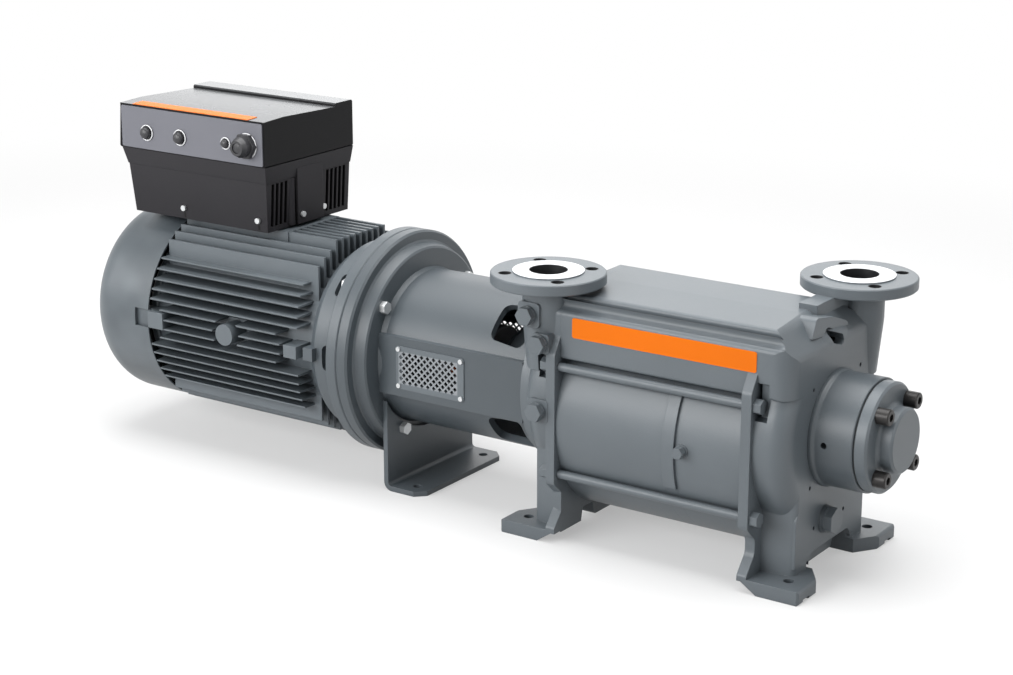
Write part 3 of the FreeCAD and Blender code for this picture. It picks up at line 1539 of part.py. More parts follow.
# Closed nuts: the bore stops short of the outer face
def tie_rod_nuts():
    nuts = []
    for y in (-rod_y, rod_y):
        for z in (rod_low_z, rod_high_z):
            for x, sense in ((free_face + clamp_depth, 1), (drive_face - clamp_depth, -1)):
                nut = hexagon(rod_nut_flats, vec(x, y, z), vec(sense, 0, 0), rod_nut_height)
                bore = rod_x(rod_radius, x - rod_nut_bore, x + rod_nut_bore, y, z)
                nuts.append(nut.cut(bore))
    return Part.makeCompound(nuts)


def export(name, shape):
    shape.exportStep("parts/" + name + ".step")


def main():
    os.makedirs("parts", exist_ok=True)
    export("drive_end_casing", drive_end_casing())
    export("free_end_casing", free_end_casing())
    export("first_stage_body", stage_body(drive_face, first_end))
    export("second_stage_body", second_stage_body())
    export("interstage_plate", interstage_plate())
    export("drive_end_port_plate", port_plate(drive_face - port_plate_thickness, 100, 150, 20))
    export("free_end_port_plate", port_plate(free_face, 118, 160, valve_start))
    export("discharge_valve_flap", valve_flap(free_face + port_plate_thickness))
    export("tie_rods", tie_rods())
    export("tie_rod_nuts", tie_rod_nuts())
    export("casing_plugs", casing_plugs())
    export("end_plug", end_plug())
    export("free_end_bearing_housing", free_end_bearing_housing())
    export("bearing_cover", bearing_cover())
    export("bearing_cover_screws", cover_screws())
    export("drive_end_bearing_housing", drive_end_bearing_housing())
    export("drive_end_bearing_cover", drive_end_bearing_cover())
    export("cover_gasket", cover_gasket())
    export("shaft_seal_seats", Part.makeCompound([drive_seal_seat(), free_seal_seat()]))
    export("pump_shaft", pump_shaft())
    export("pump_shaft_keys", Part.makeCompound(pump_keys()))
    export("shaft_seal_faces", Part.makeCompound([drive_seal_face(), free_seal_face()]))
    export("pump_bearing_inner_rings", pump_bearing_inner_rings())
    export("pump_bearing_outer_rings", pump_bearing_outer_rings())
    export("pump_bearing_rollers", roller_sets())
    export("first_stage_impeller", impeller(drive_face + side_clearance, first_end - side_clearance))
    export("second_stage_impeller", impeller(second_start + side_clearance, free_face - side_clearance))
    export("lantern", lantern())
    export("front_guard", lantern_guard(-1))
    export("rear_guard", lantern_guard(1))
    export("guard_screws", guard_screws())
    export("lantern_bolts", lantern_bolts())
    export("lantern_ring_bolts", lantern_ring_bolts())
    export("foot_bracket", foot_bracket())
    export("motor_frame", motor_frame())
    export("stator_core", stator_core())
    export("stator_windings", stator_windings())
    export("motor_flange_shield", motor_flange_shield())
    export("motor_flange_bolts", motor_flange_bolts())
    export("motor_rear_shield", motor_rear_shield())
    export("motor_bearing_inner_rings", motor_bearing_inner_rings())
    export("motor_bearing_outer_rings", motor_bearing_outer_rings())
    export("fan_cowl", fan_cowl())
    export("cowl_screws", cowl_screws())
    export("motor_shaft", motor_shaft())
    export("motor_shaft_key", motor_key())
    export("rotor_core", rotor_core())
    export("cooling_fan", cooling_fan())
    export("motor_coupling_hub", motor_hub())
    export("pump_coupling_hub", pump_hub())
    export("coupling_spider", coupling_spider())
    export("drive_base", drive_base())
    export("drive_cover", drive_cover())
    export("drive_front_panel", drive_front_panel())
    export("drive_gland", drive_gland())
    export("drive_blanking_plugs", blanking_plugs())
    export("drive_board", drive_board())
    export("drive_screws", drive_screws())
    export("drive_name_strip", drive_name_strip())
    export("name_strip", name_strip())


main()
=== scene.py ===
import bpy
import math
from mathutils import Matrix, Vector


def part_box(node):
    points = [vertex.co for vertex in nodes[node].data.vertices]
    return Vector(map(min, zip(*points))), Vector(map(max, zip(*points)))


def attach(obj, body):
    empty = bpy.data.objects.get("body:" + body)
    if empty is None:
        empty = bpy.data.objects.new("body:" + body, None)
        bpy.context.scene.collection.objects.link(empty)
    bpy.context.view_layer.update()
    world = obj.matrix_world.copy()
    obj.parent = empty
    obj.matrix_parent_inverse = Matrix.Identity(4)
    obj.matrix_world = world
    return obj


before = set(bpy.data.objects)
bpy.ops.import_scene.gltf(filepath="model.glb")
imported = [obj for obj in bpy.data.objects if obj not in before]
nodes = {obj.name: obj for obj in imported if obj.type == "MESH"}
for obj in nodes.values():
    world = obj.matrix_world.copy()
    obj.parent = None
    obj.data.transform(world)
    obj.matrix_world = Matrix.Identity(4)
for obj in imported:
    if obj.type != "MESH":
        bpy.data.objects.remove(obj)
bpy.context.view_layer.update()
print("frame loaded:", len(nodes), "nodes")


class ShaderValue:
    # wraps one number socket, so that sums and products of it add Math nodes
    def __init__(self, maker, socket):
        self.maker = maker
        self.socket = socket

    def maths(self, operation, first, second=0.0):
        return self.maker.value("ShaderNodeMath", {"operation": operation}, {0: first, 1: second})

    def __add__(self, other): return self.maths("ADD", self, other)
    def __radd__(self, other): return self.maths("ADD", other, self)
    def __sub__(self, other): return self.maths("SUBTRACT", self, other)
    def __rsub__(self, other): return self.maths("SUBTRACT", other, self)
    def __mul__(self, other): return self.maths("MULTIPLY", self, other)
    def __rmul__(self, other): return self.maths("MULTIPLY", other, self)
    def __pow__(self, other): return self.maths("POWER", self, other)
    def larger(self, other): return self.maths("MAXIMUM", self, other)
    def smaller(self, other): return self.maths("MINIMUM", self, other)
    def sine(self): return self.maths("SINE", self)
    def size(self): return self.maths("ABSOLUTE", self)
    def root(self): return self.maths("SQRT", self)

    def within(self, low, high):
        return self.larger(low).smaller(high)

    def step(self, low, high):
        # 0 below low, 1 above high
        return self.maker.value("ShaderNodeMapRange", {"interpolation_type": "SMOOTHSTEP"},
                                {"Value": self, "From Min": low, "From Max": high})


class ShaderTree:
    # adds nodes to one node tree: type, settings first, then values or links of sockets
    def __init__(self, tree):
        self.tree = tree
        tree.nodes.clear()

    def add(self, kind, settings=None, sockets=None):
        node = self.tree.nodes.new(kind)
        for name, value in (settings or {}).items():
            setattr(node, name, value)
        for name, value in (sockets or {}).items():
            socket = node.inputs[name]
            if isinstance(value, ShaderValue):
                value = value.socket
            if isinstance(value, bpy.types.NodeSocket):
                self.tree.links.new(value, socket)
            else:
                socket.default_value = value
        return node

    def value(self, kind, settings=None, sockets=None, output=0):
        return ShaderValue(self, self.add(kind, settings, sockets).outputs[output])

    def seenDirectly(self):
        # 1 where the camera or a reflection sees it, 0 where it only lights the object
        path = self.add("ShaderNodeLightPath").outputs
        return ShaderValue(self, path["Is Camera Ray"]).larger(path["Is Glossy Ray"])


class Finish(ShaderTree):
    # one material with its own coordinates and surface
    def __init__(self, name):
        self.material = bpy.data.materials.new(name)
        self.material.use_nodes = True
        super().__init__(self.material.node_tree)
        self.place = self.add("ShaderNodeTexCoord").outputs["Object"]

    def axes(self, vector=None):
        split = self.add("ShaderNodeSeparateXYZ", None, {0: vector or self.place})
        return [ShaderValue(self, socket) for socket in split.outputs]

    def upness(self):
        # 1 where the surface faces up
        return self.axes(self.add("ShaderNodeNewGeometry").outputs["Normal"])[2]

    def stretched(self, scale):
        return self.add("ShaderNodeMapping", None, {"Vector": self.place, "Scale": scale}).outputs[0]

    def noise(self, scale, detail=3.0, rough=0.5, place=None):
        return self.value("ShaderNodeTexNoise", None, {"Vector": place or self.place, "Scale": scale,
                                                       "Detail": detail, "Roughness": rough})

    def spots(self, scale):
        return self.value("ShaderNodeTexVoronoi", None, {"Vector": self.place, "Scale": scale},
                          "Distance")

    def awayFromPaintedShade(self, look):
        # 1 in the open, less in corners and gaps, where the finishes paint a darker colour as shade
        free = self.value("ShaderNodeAmbientOcclusion", {"samples": 6},
                          {"Distance": look["cornerReach"]}, "AO")
        return free.step(look["cornerFrom"], look["cornerTo"])

    def blend(self, factor, first, second):
        mix = self.add("ShaderNodeMix", {"data_type": "RGBA"}, {0: factor, 6: first, 7: second})
        return mix.outputs[2]

    def mottled(self, factor, look):
        return self.blend(factor, shade(*look["dark"]), shade(*look["light"]))

    def rounded(self, radius):
        return self.add("ShaderNodeBevel", {"samples": 4}, {"Radius": radius}).outputs[0]

    def bump(self, height, distance, strength, normal=None):
        sockets = {"Height": height, "Distance": distance, "Strength": strength}
        if normal is not None:
            sockets["Normal"] = normal
        return self.add("ShaderNodeBump", None, sockets).outputs[0]

    def surface(self, sockets):
        shader = self.add("ShaderNodeBsdfPrincipled", None, sockets)
        self.add("ShaderNodeOutputMaterial", None, {0: shader.outputs[0]})
        return self.material


def shade(red, green, blue):
    # linear colour of a shade given on a 0 to 255 scale
    def linear(value):
        value /= 255
        return value / 12.92 if value <= 0.04045 else ((value + 0.055) / 1.055) ** 2.4
    return (linear(red), linear(green), linear(blue), 1.0)


def tinted(tint, change):
    # the shade lighter or darker by so many of its 255 steps
    return shade(*[min(max(value + change, 0), 255) for value in tint])


print("shader helpers ready")

# Blue-grey enamel on the castings and sheets: cloudy mottle, grain, orange peel and pits, with shade
# painted darker into corners and gaps
enamel = {"dark": (84, 91, 96), "light": (100, 107, 112), "corner": (51, 57, 62),
          "cornerReach": 0.03, "cornerFrom": 0.0, "cornerTo": 0.62, "cloud": 7.0, "grain": 520.0,
          "peel": 1500.0, "pits": 330.0, "pitSize": 0.22, "cloudShare": 0.7, "grainShare": 0.3,
          "grainHeight": 0.8, "peelHeight": 0.3, "pitHeight": 0.35, "castDepth": 0.00035,
          "sheetDepth": 0.0001, "edge": 0.0014, "roughness": 0.4, "cloudGloss": 0.12,
          "grainGloss": 0.14, "darker": -14, "welded": -22}


def enamelBase(name, grainDepth, shift=0, edge=enamel["edge"]):
    look = enamel
    f = Finish(name)
    cloud = f.noise(look["cloud"])
    grain = f.noise(look["grain"], detail=4.0, rough=0.6)
    peel = f.noise(look["peel"], detail=2.0)
    pits = f.spots(look["pits"]).step(0.0, look["pitSize"])
    clear = f.awayFromPaintedShade(look)
    mottle = (cloud * look["cloudShare"] + grain * look["grainShare"]).within(0.0, 1.0)
    paint = f.blend(mottle, tinted(look["dark"], shift), tinted(look["light"], shift))
    # the corner colour is painted shade, laid where neighbouring surfaces crowd in
    colour = f.blend(clear, shade(*look["corner"]), paint)
    height = grain * look["grainHeight"] + peel * look["peelHeight"] + pits * look["pitHeight"]
    normal = f.bump(height, grainDepth, strength=0.6, normal=f.rounded(edge) if edge else None)
    rough = (look["roughness"] + (cloud - 0.5) * look["cloudGloss"]
             + (grain - 0.5) * look["grainGloss"])
    return f, colour, rough, normal


def plainEnamel(name, grainDepth, shift=0, edge=enamel["edge"]):
    f, colour, rough, normal = enamelBase(name, grainDepth, shift, edge)
    return f.surface({"Base Color": colour, "Roughness": rough, "Normal": normal})


# Perforated guards: zinc-grey sheet, worn bright between the holes, enamelled round the rim
guardFinish = {"rim": 0.0085, "from": 0.0045, "to": 0.1125, "rimFade": 0.0008,
               "bright": (152, 156, 160), "dull": (112, 117, 121), "wear": 260.0,
               "roughness": 0.36, "wearGloss": 0.14, "metallic": 0.35}


def guardSheet(name):
    look = guardFinish
    low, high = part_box("front_guard")
    f, colour, _, normal = enamelBase(name, enamel["sheetDepth"], edge=0.0)
    x, _, z = f.axes()
    inX = (x - (low.x + (look["from"] + look["to"]) / 2)).size() - (look["to"] - look["from"]) / 2
    inZ = (z - (low.z + high.z) / 2).size() - ((high.z - low.z) / 2 - look["rim"])
    perforated = 1 - inX.larger(inZ).step(-look["rimFade"], look["rimFade"])
    wear = f.noise(look["wear"])
    sheet = f.blend(wear, shade(*look["dull"]), shade(*look["bright"]))
    colour = f.blend(perforated, colour, sheet)
    return f.surface({"Base Color": colour, "Roughness": look["roughness"] + wear * look["wearGloss"],
                      "Metallic": perforated * look["metallic"], "Normal": normal})


# The raised face of a pipe flange is turned bare metal with fine grooves; its bore and holes are
# painted near-black as shade
flangeFace = {"suction": (-0.185, -0.114), "discharge": (0.185, 0.114),
              "top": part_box("drive_end_casing")[1].z, "faceDepth": 0.0008, "groove": 0.0011,
              "grooveDepth": 0.00006, "boreRadius": 0.0275, "boreFade": 0.0003, "boreFrom": 0.29,
              "boreTo": 0.31, "holeOffset": 0.0442, "holeRadius": 0.0098, "holeFade": 0.0006,
              "metal": (232, 234, 236), "metalStain": (214, 217, 220), "stains": 60.0,
              "inside": (30, 31, 33), "roughness": 0.3, "stainGloss": 0.12, "metallic": 0.4}


def enamelWithBareFace(name, centre):
    look = flangeFace
    f, colour, rough, normal = enamelBase(name, enamel["castDepth"])
    x, y, z = f.axes()
    across, along = x - centre[0], y - centre[1]
    fromAxis = (across ** 2.0 + along ** 2.0).root()
    bare = z.step(look["top"] - look["faceDepth"], look["top"] - look["faceDepth"] / 2)
    holeX, holeY = across.size() - look["holeOffset"], along.size() - look["holeOffset"]
    fromHole = (holeX ** 2.0 + holeY ** 2.0).root()
    holes = 1 - fromHole.step(look["holeRadius"] - look["holeFade"], look["holeRadius"])
    bore = 1 - fromAxis.step(look["boreRadius"], look["boreRadius"] + look["boreFade"])
    # bore and bolt holes are painted near-black as the shade inside them
    inside = (holes + bore).within(0.0, 1.0) * z.step(look["boreFrom"], look["boreTo"])
    stains = f.noise(look["stains"], detail=4.0)
    metal = f.blend(stains, shade(*look["metalStain"]), shade(*look["metal"]))
    colour = f.blend(bare, colour, metal)
    colour = f.blend(inside, colour, shade(*look["inside"]))
    grooves = (fromAxis * (2 * math.pi / look["groove"])).sine()
    grooved = f.bump(grooves * bare, look["grooveDepth"], strength=0.5, normal=normal)
    rough = rough * (1 - bare) + bare * (look["roughness"] + stains * look["stainGloss"])
    return f.surface({"Base Color": colour, "Roughness": rough, "Metallic": bare * look["metallic"],
                      "Normal": grooved})


# Pressed sheet of the fan cowl: the same enamel, shifted darker, over slightly uneven spun metal, with
# lighter patches painted on the waves as sheen and shade painted darker into corners
cowlSheet = {"waves": 11.0, "waveDepth": 0.004, "streaks": (6.0, 60.0, 60.0), "streakShare": 0.15,
             "shift": -18, "paintedSheen": 12, "paintedSheenFrom": 0.35, "paintedSheenTo": 0.65, "cornerReach": 0.02,
             "cornerFrom": 0.2, "cornerTo": 0.8, "roughness": 0.3, "waveGloss": 0.14}


def cowlEnamel(name):
    look = cowlSheet
    f, colour, _, normal = enamelBase(name, enamel["sheetDepth"], look["shift"])
    waves = f.noise(look["waves"], detail=2.0, rough=0.4)
    streaks = f.noise(1.0, place=f.stretched(look["streaks"]))
    unevenness = waves + streaks * look["streakShare"]
    uneven = f.bump(unevenness, look["waveDepth"], strength=0.5, normal=normal)
    # painted sheen: lighter enamel where the waves rise
    sheenPatches = waves.step(look["paintedSheenFrom"], look["paintedSheenTo"])
    withPaintedSheen = f.blend(sheenPatches, colour, tinted(enamel["light"], look["shift"] + look["paintedSheen"]))
    colour = f.blend(f.awayFromPaintedShade(look), shade(*enamel["corner"]), withPaintedSheen)
    return f.surface({"Base Color": colour, "Roughness": look["roughness"] + waves * look["waveGloss"],
                      "Normal": uneven})


# Bare steel with fine lines round the shaft's axis, as a lathe leaves them
steel = {"darker": -14, "lighter": 10, "cloud": 30.0, "lines": (2600.0, 60.0, 60.0),
         "lineDepth": 0.00004, "edge": 0.0006, "lineGloss": 0.12}
steels = {"turnedSteel": {"tint": (150, 153, 157), "roughness": 0.28},
          "portPlateSteel": {"tint": (176, 178, 180), "roughness": 0.34}}


def turnedSteel(name):
    look = {**steel, **steels[name]}
    f = Finish(name)
    lines = f.noise(1.0, rough=0.6, place=f.stretched(look["lines"]))
    cloud = f.noise(look["cloud"])
    colour = f.blend(cloud, tinted(look["tint"], look["darker"]), tinted(look["tint"], look["lighter"]))
    normal = f.bump(lines, look["lineDepth"], strength=0.5, normal=f.rounded(look["edge"]))
    return f.surface({"Base Color": colour, "Roughness": look["roughness"] + lines * look["lineGloss"],
                      "Metallic": 1.0, "Normal": normal})


# Zinc plating of the bright screws, with a fine spangle
zinc = {"dark": (190, 192, 193), "light": (214, 216, 217), "spangle": 900.0, "spangleHeight": 0.4,
        "cloud": 140.0, "depth": 0.00006, "edge": 0.0006, "roughness": 0.3, "cloudGloss": 0.16,
        "metallic": 0.7}


def zincPlate(name):
    look = zinc
    f = Finish(name)
    spangle = f.spots(look["spangle"])
    cloud = f.noise(look["cloud"])
    colour = f.mottled(cloud, look)
    height = spangle * look["spangleHeight"] + cloud
    normal = f.bump(height, look["depth"], strength=0.4, normal=f.rounded(look["edge"]))
    return f.surface({"Base Color": colour, "Roughness": look["roughness"] + cloud * look["cloudGloss"],
                      "Metallic": look["metallic"], "Normal": normal})


# Blackened cap screws of the bearing cover
oxide = {"dark": (30, 29, 29), "light": (54, 52, 51), "knurl": 700.0, "depth": 0.0001, "edge": 0.0008,
         "roughness": 0.3, "knurlGloss": 0.16, "metallic": 0.5}


def blackOxide(name):
    look = oxide
    f = Finish(name)
    knurl = f.noise(look["knurl"], detail=2.0)
    colour = f.mottled(knurl, look)
    normal = f.bump(knurl, look["depth"], strength=0.4, normal=f.rounded(look["edge"]))
    return f.surface({"Base Color": colour, "Roughness": look["roughness"] + knurl * look["knurlGloss"],
                      "Metallic": look["metallic"], "Normal": normal})


# Leathery surfaces: plastic, rubber, thin sheet and the paint in the nut pockets, each painted darker
# in corners and gaps as shade
plastic = {"spread": 4, "corner": -24, "cornerReach": 0.012, "cornerFrom": 0.1, "cornerTo": 0.7,
           "cloud": 9.0, "cloudGloss": 0.1, "depth": 0.0001, "edge": 0.0008, "shine": 0.5}
plastics = {
    "plugBlack": {"tint": (44, 44, 47), "roughness": 0.34, "leather": 1800.0, "depth": 0.00008},
    "pocketEnamel": {"tint": (98, 105, 110), "roughness": 0.42, "leather": 1500.0},
    "ringWhite": {"tint": (226, 227, 229), "roughness": 0.3, "leather": 1800.0, "depth": 0.00004},
    "orangeElastomer": {"tint": (196, 92, 30), "roughness": 0.5, "leather": 900.0},
    "sealCarbon": {"tint": (48, 48, 50), "roughness": 0.3, "leather": 2200.0},
    "valveFlapSheet": {"tint": (222, 220, 212), "roughness": 0.4, "leather": 1200.0},
    "gasketSheet": {"tint": (64, 64, 62), "roughness": 0.7, "leather": 1600.0},
    "fanPlastic": {"tint": (44, 44, 46), "roughness": 0.5, "leather": 1200.0},
    "drivePanelGrey": {"tint": (107, 108, 115), "roughness": 0.45, "leather": 1700.0,
                       "depth": 0.00008, "edge": 0.0006, "shine": 0.35}}


def mouldedPlastic(name):
    look = {**plastic, **plastics[name]}
    f = Finish(name)
    leather = f.spots(look["leather"])
    cloud = f.noise(look["cloud"])
    base = f.blend(cloud, tinted(look["tint"], -look["spread"]), tinted(look["tint"], look["spread"]))
    # a darker tint is painted into corners and gaps as shade
    colour = f.blend(f.awayFromPaintedShade(look), tinted(look["tint"], look["corner"]), base)
    normal = f.bump(leather, look["depth"], strength=0.5, normal=f.rounded(look["edge"]))
    return f.surface({"Base Color": colour, "Roughness": look["roughness"] + cloud * look["cloudGloss"],
                      "Normal": normal, "Specular IOR Level": look["shine"]})


# Tub of the drive: dark coating, painted lighter towards its top as light and darker in corners as
# shade, with a small drain slot under each screw of the near side, painted near-black as the shade
# inside it
driveTub = {"tint": (36, 35, 38), "darker": -4, "lighter": 5, "upper": 18, "upperShare": 0.5,
            "corner": (12, 12, 13), "cornerReach": 0.03, "cornerFrom": 0.15, "cornerTo": 0.8,
            "cloud": 9.0, "leather": 1500.0, "depth": 0.00012, "edge": 0.0014, "roughness": 0.46,
            "cloudGloss": 0.1, "shine": 0.16, "slot": (8, 8, 8), "slotHalfWidth": 0.0016,
            "slotTop": 0.0075, "slotBottom": 0.0155, "slotReach": 0.02, "fadeAcross": 0.0006,
            "fadeUp": 0.0008, "fadeIn": 0.001, "screwInsets": (0.028, 0.182), "screwHeight": 0.018}


def driveTubCoating(name):
    look = driveTub
    low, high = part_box("drive_base")
    f = Finish(name)
    x, y, z = f.axes()
    leather = f.spots(look["leather"])
    cloud = f.noise(look["cloud"])
    colour = f.blend(cloud, tinted(look["tint"], look["darker"]), tinted(look["tint"], look["lighter"]))
    # painted light: the coating turns lighter towards the top
    upper = z.step(low.z, high.z) * look["upperShare"]
    colour = f.blend(upper, colour, tinted(look["tint"], look["upper"]))
    # painted shade in corners and gaps
    colour = f.blend(f.awayFromPaintedShade(look), shade(*look["corner"]), colour)
    slotTop = low.z + look["screwHeight"] - look["slotTop"]
    slotBottom = low.z + look["screwHeight"] - look["slotBottom"]
    belowTop = 1 - z.step(slotTop, slotTop + look["fadeUp"])
    level = belowTop * z.step(slotBottom - look["fadeUp"], slotBottom)
    slotEnd = low.y + look["slotReach"]
    nearSide = 1 - y.step(slotEnd, slotEnd + look["fadeIn"])
    # each slot is painted near-black as the shade inside it
    for inset in look["screwInsets"]:
        offset = (x - (high.x - inset)).size()
        across = 1 - offset.step(look["slotHalfWidth"], look["slotHalfWidth"] + look["fadeAcross"])
        colour = f.blend(across * level * nearSide, colour, shade(*look["slot"]))
    normal = f.bump(leather, look["depth"], strength=0.5, normal=f.rounded(look["edge"]))
    return f.surface({"Base Color": colour, "Roughness": look["roughness"] + cloud * look["cloudGloss"],
                      "Normal": normal, "Specular IOR Level": look["shine"]})


# Cover of the drive: black lacquer, glossy on the top, where a paler grey is painted as reflection,
# paler towards the back, and a painted glint runs brightest along the back ridge
driveLacquer = {"side": (12, 12, 14), "sideSpread": 6, "top": (72, 74, 77), "ridgeGlint": (120, 122, 124),
                "upFrom": 0.6, "upTo": 0.95, "ridgeFrom": 0.046, "ridgeTo": 0.044,
                "backShare": 0.8, "cloudShare": 0.2,
                "cloud": 14.0, "leather": 1500.0, "depth": 0.00004, "edge": 0.0012, "roughness": 0.4,
                "topGloss": 0.16, "cloudGloss": 0.06, "metallic": 0.4, "shine": 0.14}


def driveLacquerFinish(name):
    look = driveLacquer
    low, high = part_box("drive_cover")
    f = Finish(name)
    y = f.axes()[1]
    up = f.upness().step(look["upFrom"], look["upTo"])
    cloud = f.noise(look["cloud"])
    leather = f.spots(look["leather"])
    # painted glint along the back ridge
    ridgeGlint = y.step(high.y - look["ridgeFrom"], high.y - look["ridgeTo"])
    # painted reflection: the top turns paler towards the back
    towardsBack = y.step(low.y, high.y)
    reflectionTowardsBack = (towardsBack * look["backShare"] + cloud * look["cloudShare"]).within(0.0, 1.0)
    top = f.blend(reflectionTowardsBack, shade(*look["top"]), shade(*look["ridgeGlint"]))
    top = f.blend(ridgeGlint, top, shade(*look["ridgeGlint"]))
    side = f.blend(cloud, shade(*look["side"]), tinted(look["side"], look["sideSpread"]))
    colour = f.blend(up, side, top)
    normal = f.bump(leather, look["depth"], strength=0.4, normal=f.rounded(look["edge"]))
    rough = look["roughness"] - up * look["topGloss"] + cloud * look["cloudGloss"]
    return f.surface({"Base Color": colour, "Roughness": rough, "Metallic": up * look["metallic"],
                      "Normal": normal, "Specular IOR Level": look["shine"]})


# Bare castings: the bronze impellers and the grey iron coupling hubs
casting = {"edge": 0.0008, "grainGloss": 0.2}
castings = {
    "castBronze": {"dark": (140, 104, 62), "light": (186, 146, 92), "cloud": 24.0, "grain": 420.0,
                   "depth": 0.0003, "roughness": 0.42, "metallic": 0.9},
    "bareGreyIron": {"dark": (86, 86, 88), "light": (120, 120, 122), "cloud": 20.0, "grain": 600.0,
                     "depth": 0.0002, "roughness": 0.45, "metallic": 0.6}}


def bareCasting(name):
    look = {**casting, **castings[name]}
    f = Finish(name)
    grain = f.noise(look["grain"], detail=4.0, rough=0.6)
    cloud = f.noise(look["cloud"])
    colour = f.mottled(cloud, look)
    normal = f.bump(grain, look["depth"], strength=0.6, normal=f.rounded(look["edge"]))
    return f.surface({"Base Color": colour, "Roughness": look["roughness"] + grain * look["grainGloss"],
                      "Metallic": look["metallic"], "Normal": normal})


# Stator and rotor cores: thin sheets stacked along the shaft
coreSheets = {"dark": (74, 76, 80), "light": (112, 114, 118), "pitch": 0.0012, "depth": 0.0002,
              "cloud": 30.0, "roughness": 0.4, "cloudGloss": 0.15, "metallic": 0.8}


def stackedSheet(name):
    look = coreSheets
    f = Finish(name)
    sheets = (f.axes()[0] * (2 * math.pi / look["pitch"])).sine()
    cloud = f.noise(look["cloud"])
    colour = f.mottled(cloud, look)
    return f.surface({"Base Color": colour, "Roughness": look["roughness"] + cloud * look["cloudGloss"],
                      "Metallic": look["metallic"],
                      "Normal": f.bump(sheets, look["depth"], strength=0.6)})


# Windings of the stator: varnished copper strands along the shaft
copper = {"dark": (120, 62, 30), "light": (186, 110, 62), "strands": (90.0, 900.0, 900.0),
          "depth": 0.0008, "cloud": 50.0, "roughness": 0.35, "strandGloss": 0.2, "metallic": 0.5}


def windingWire(name):
    look = copper
    f = Finish(name)
    strands = f.noise(1.0, rough=0.6, place=f.stretched(look["strands"]))
    cloud = f.noise(look["cloud"])
    colour = f.mottled(cloud, look)
    rough = look["roughness"] + strands * look["strandGloss"]
    return f.surface({"Base Color": colour, "Roughness": rough, "Metallic": look["metallic"],
                      "Normal": f.bump(strands, look["depth"], strength=0.8)})


# Bare orange plates, one on the pump's near side and one on the drive
film = {"dark": (220, 106, 2), "light": (228, 113, 5), "cloud": 12.0, "peel": 900.0, "depth": 0.00003,
        "roughness": 0.4, "cloudGloss": 0.08, "shine": 0.15}


def orangeFilm(name):
    look = film
    f = Finish(name)
    cloud = f.noise(look["cloud"], detail=2.0)
    peel = f.noise(look["peel"], detail=2.0)
    colour = f.mottled(cloud, look)
    return f.surface({"Base Color": colour, "Roughness": look["roughness"] + cloud * look["cloudGloss"],
                      "Normal": f.bump(peel, look["depth"], strength=0.4),
                      "Specular IOR Level": look["shine"]})


# Board inside the drive: green tracks with tinned dots
board = {"track": (24, 92, 52), "between": (18, 74, 44), "line": (120, 132, 70), "tracks": 90.0,
         "dot": (196, 184, 120), "dots": 160.0, "dotFrom": 0.1, "dotTo": 0.14, "roughness": 0.35,
         "dotGloss": 0.1}


def circuitBoard(name):
    look = board
    f = Finish(name)
    bricks = {"Vector": f.place, "Scale": look["tracks"], "Color1": shade(*look["track"]),
              "Color2": shade(*look["between"]), "Mortar": shade(*look["line"])}
    tracks = f.add("ShaderNodeTexBrick", None, bricks).outputs[0]
    dots = 1 - f.spots(look["dots"]).step(look["dotFrom"], look["dotTo"])
    colour = f.blend(dots, tracks, shade(*look["dot"]))
    return f.surface({"Base Color": colour, "Roughness": look["roughness"] + dots * look["dotGloss"]})


plugBlack = mouldedPlastic("plugBlack")
pocketEnamel = mouldedPlastic("pocketEnamel")
ringWhite = mouldedPlastic("ringWhite")

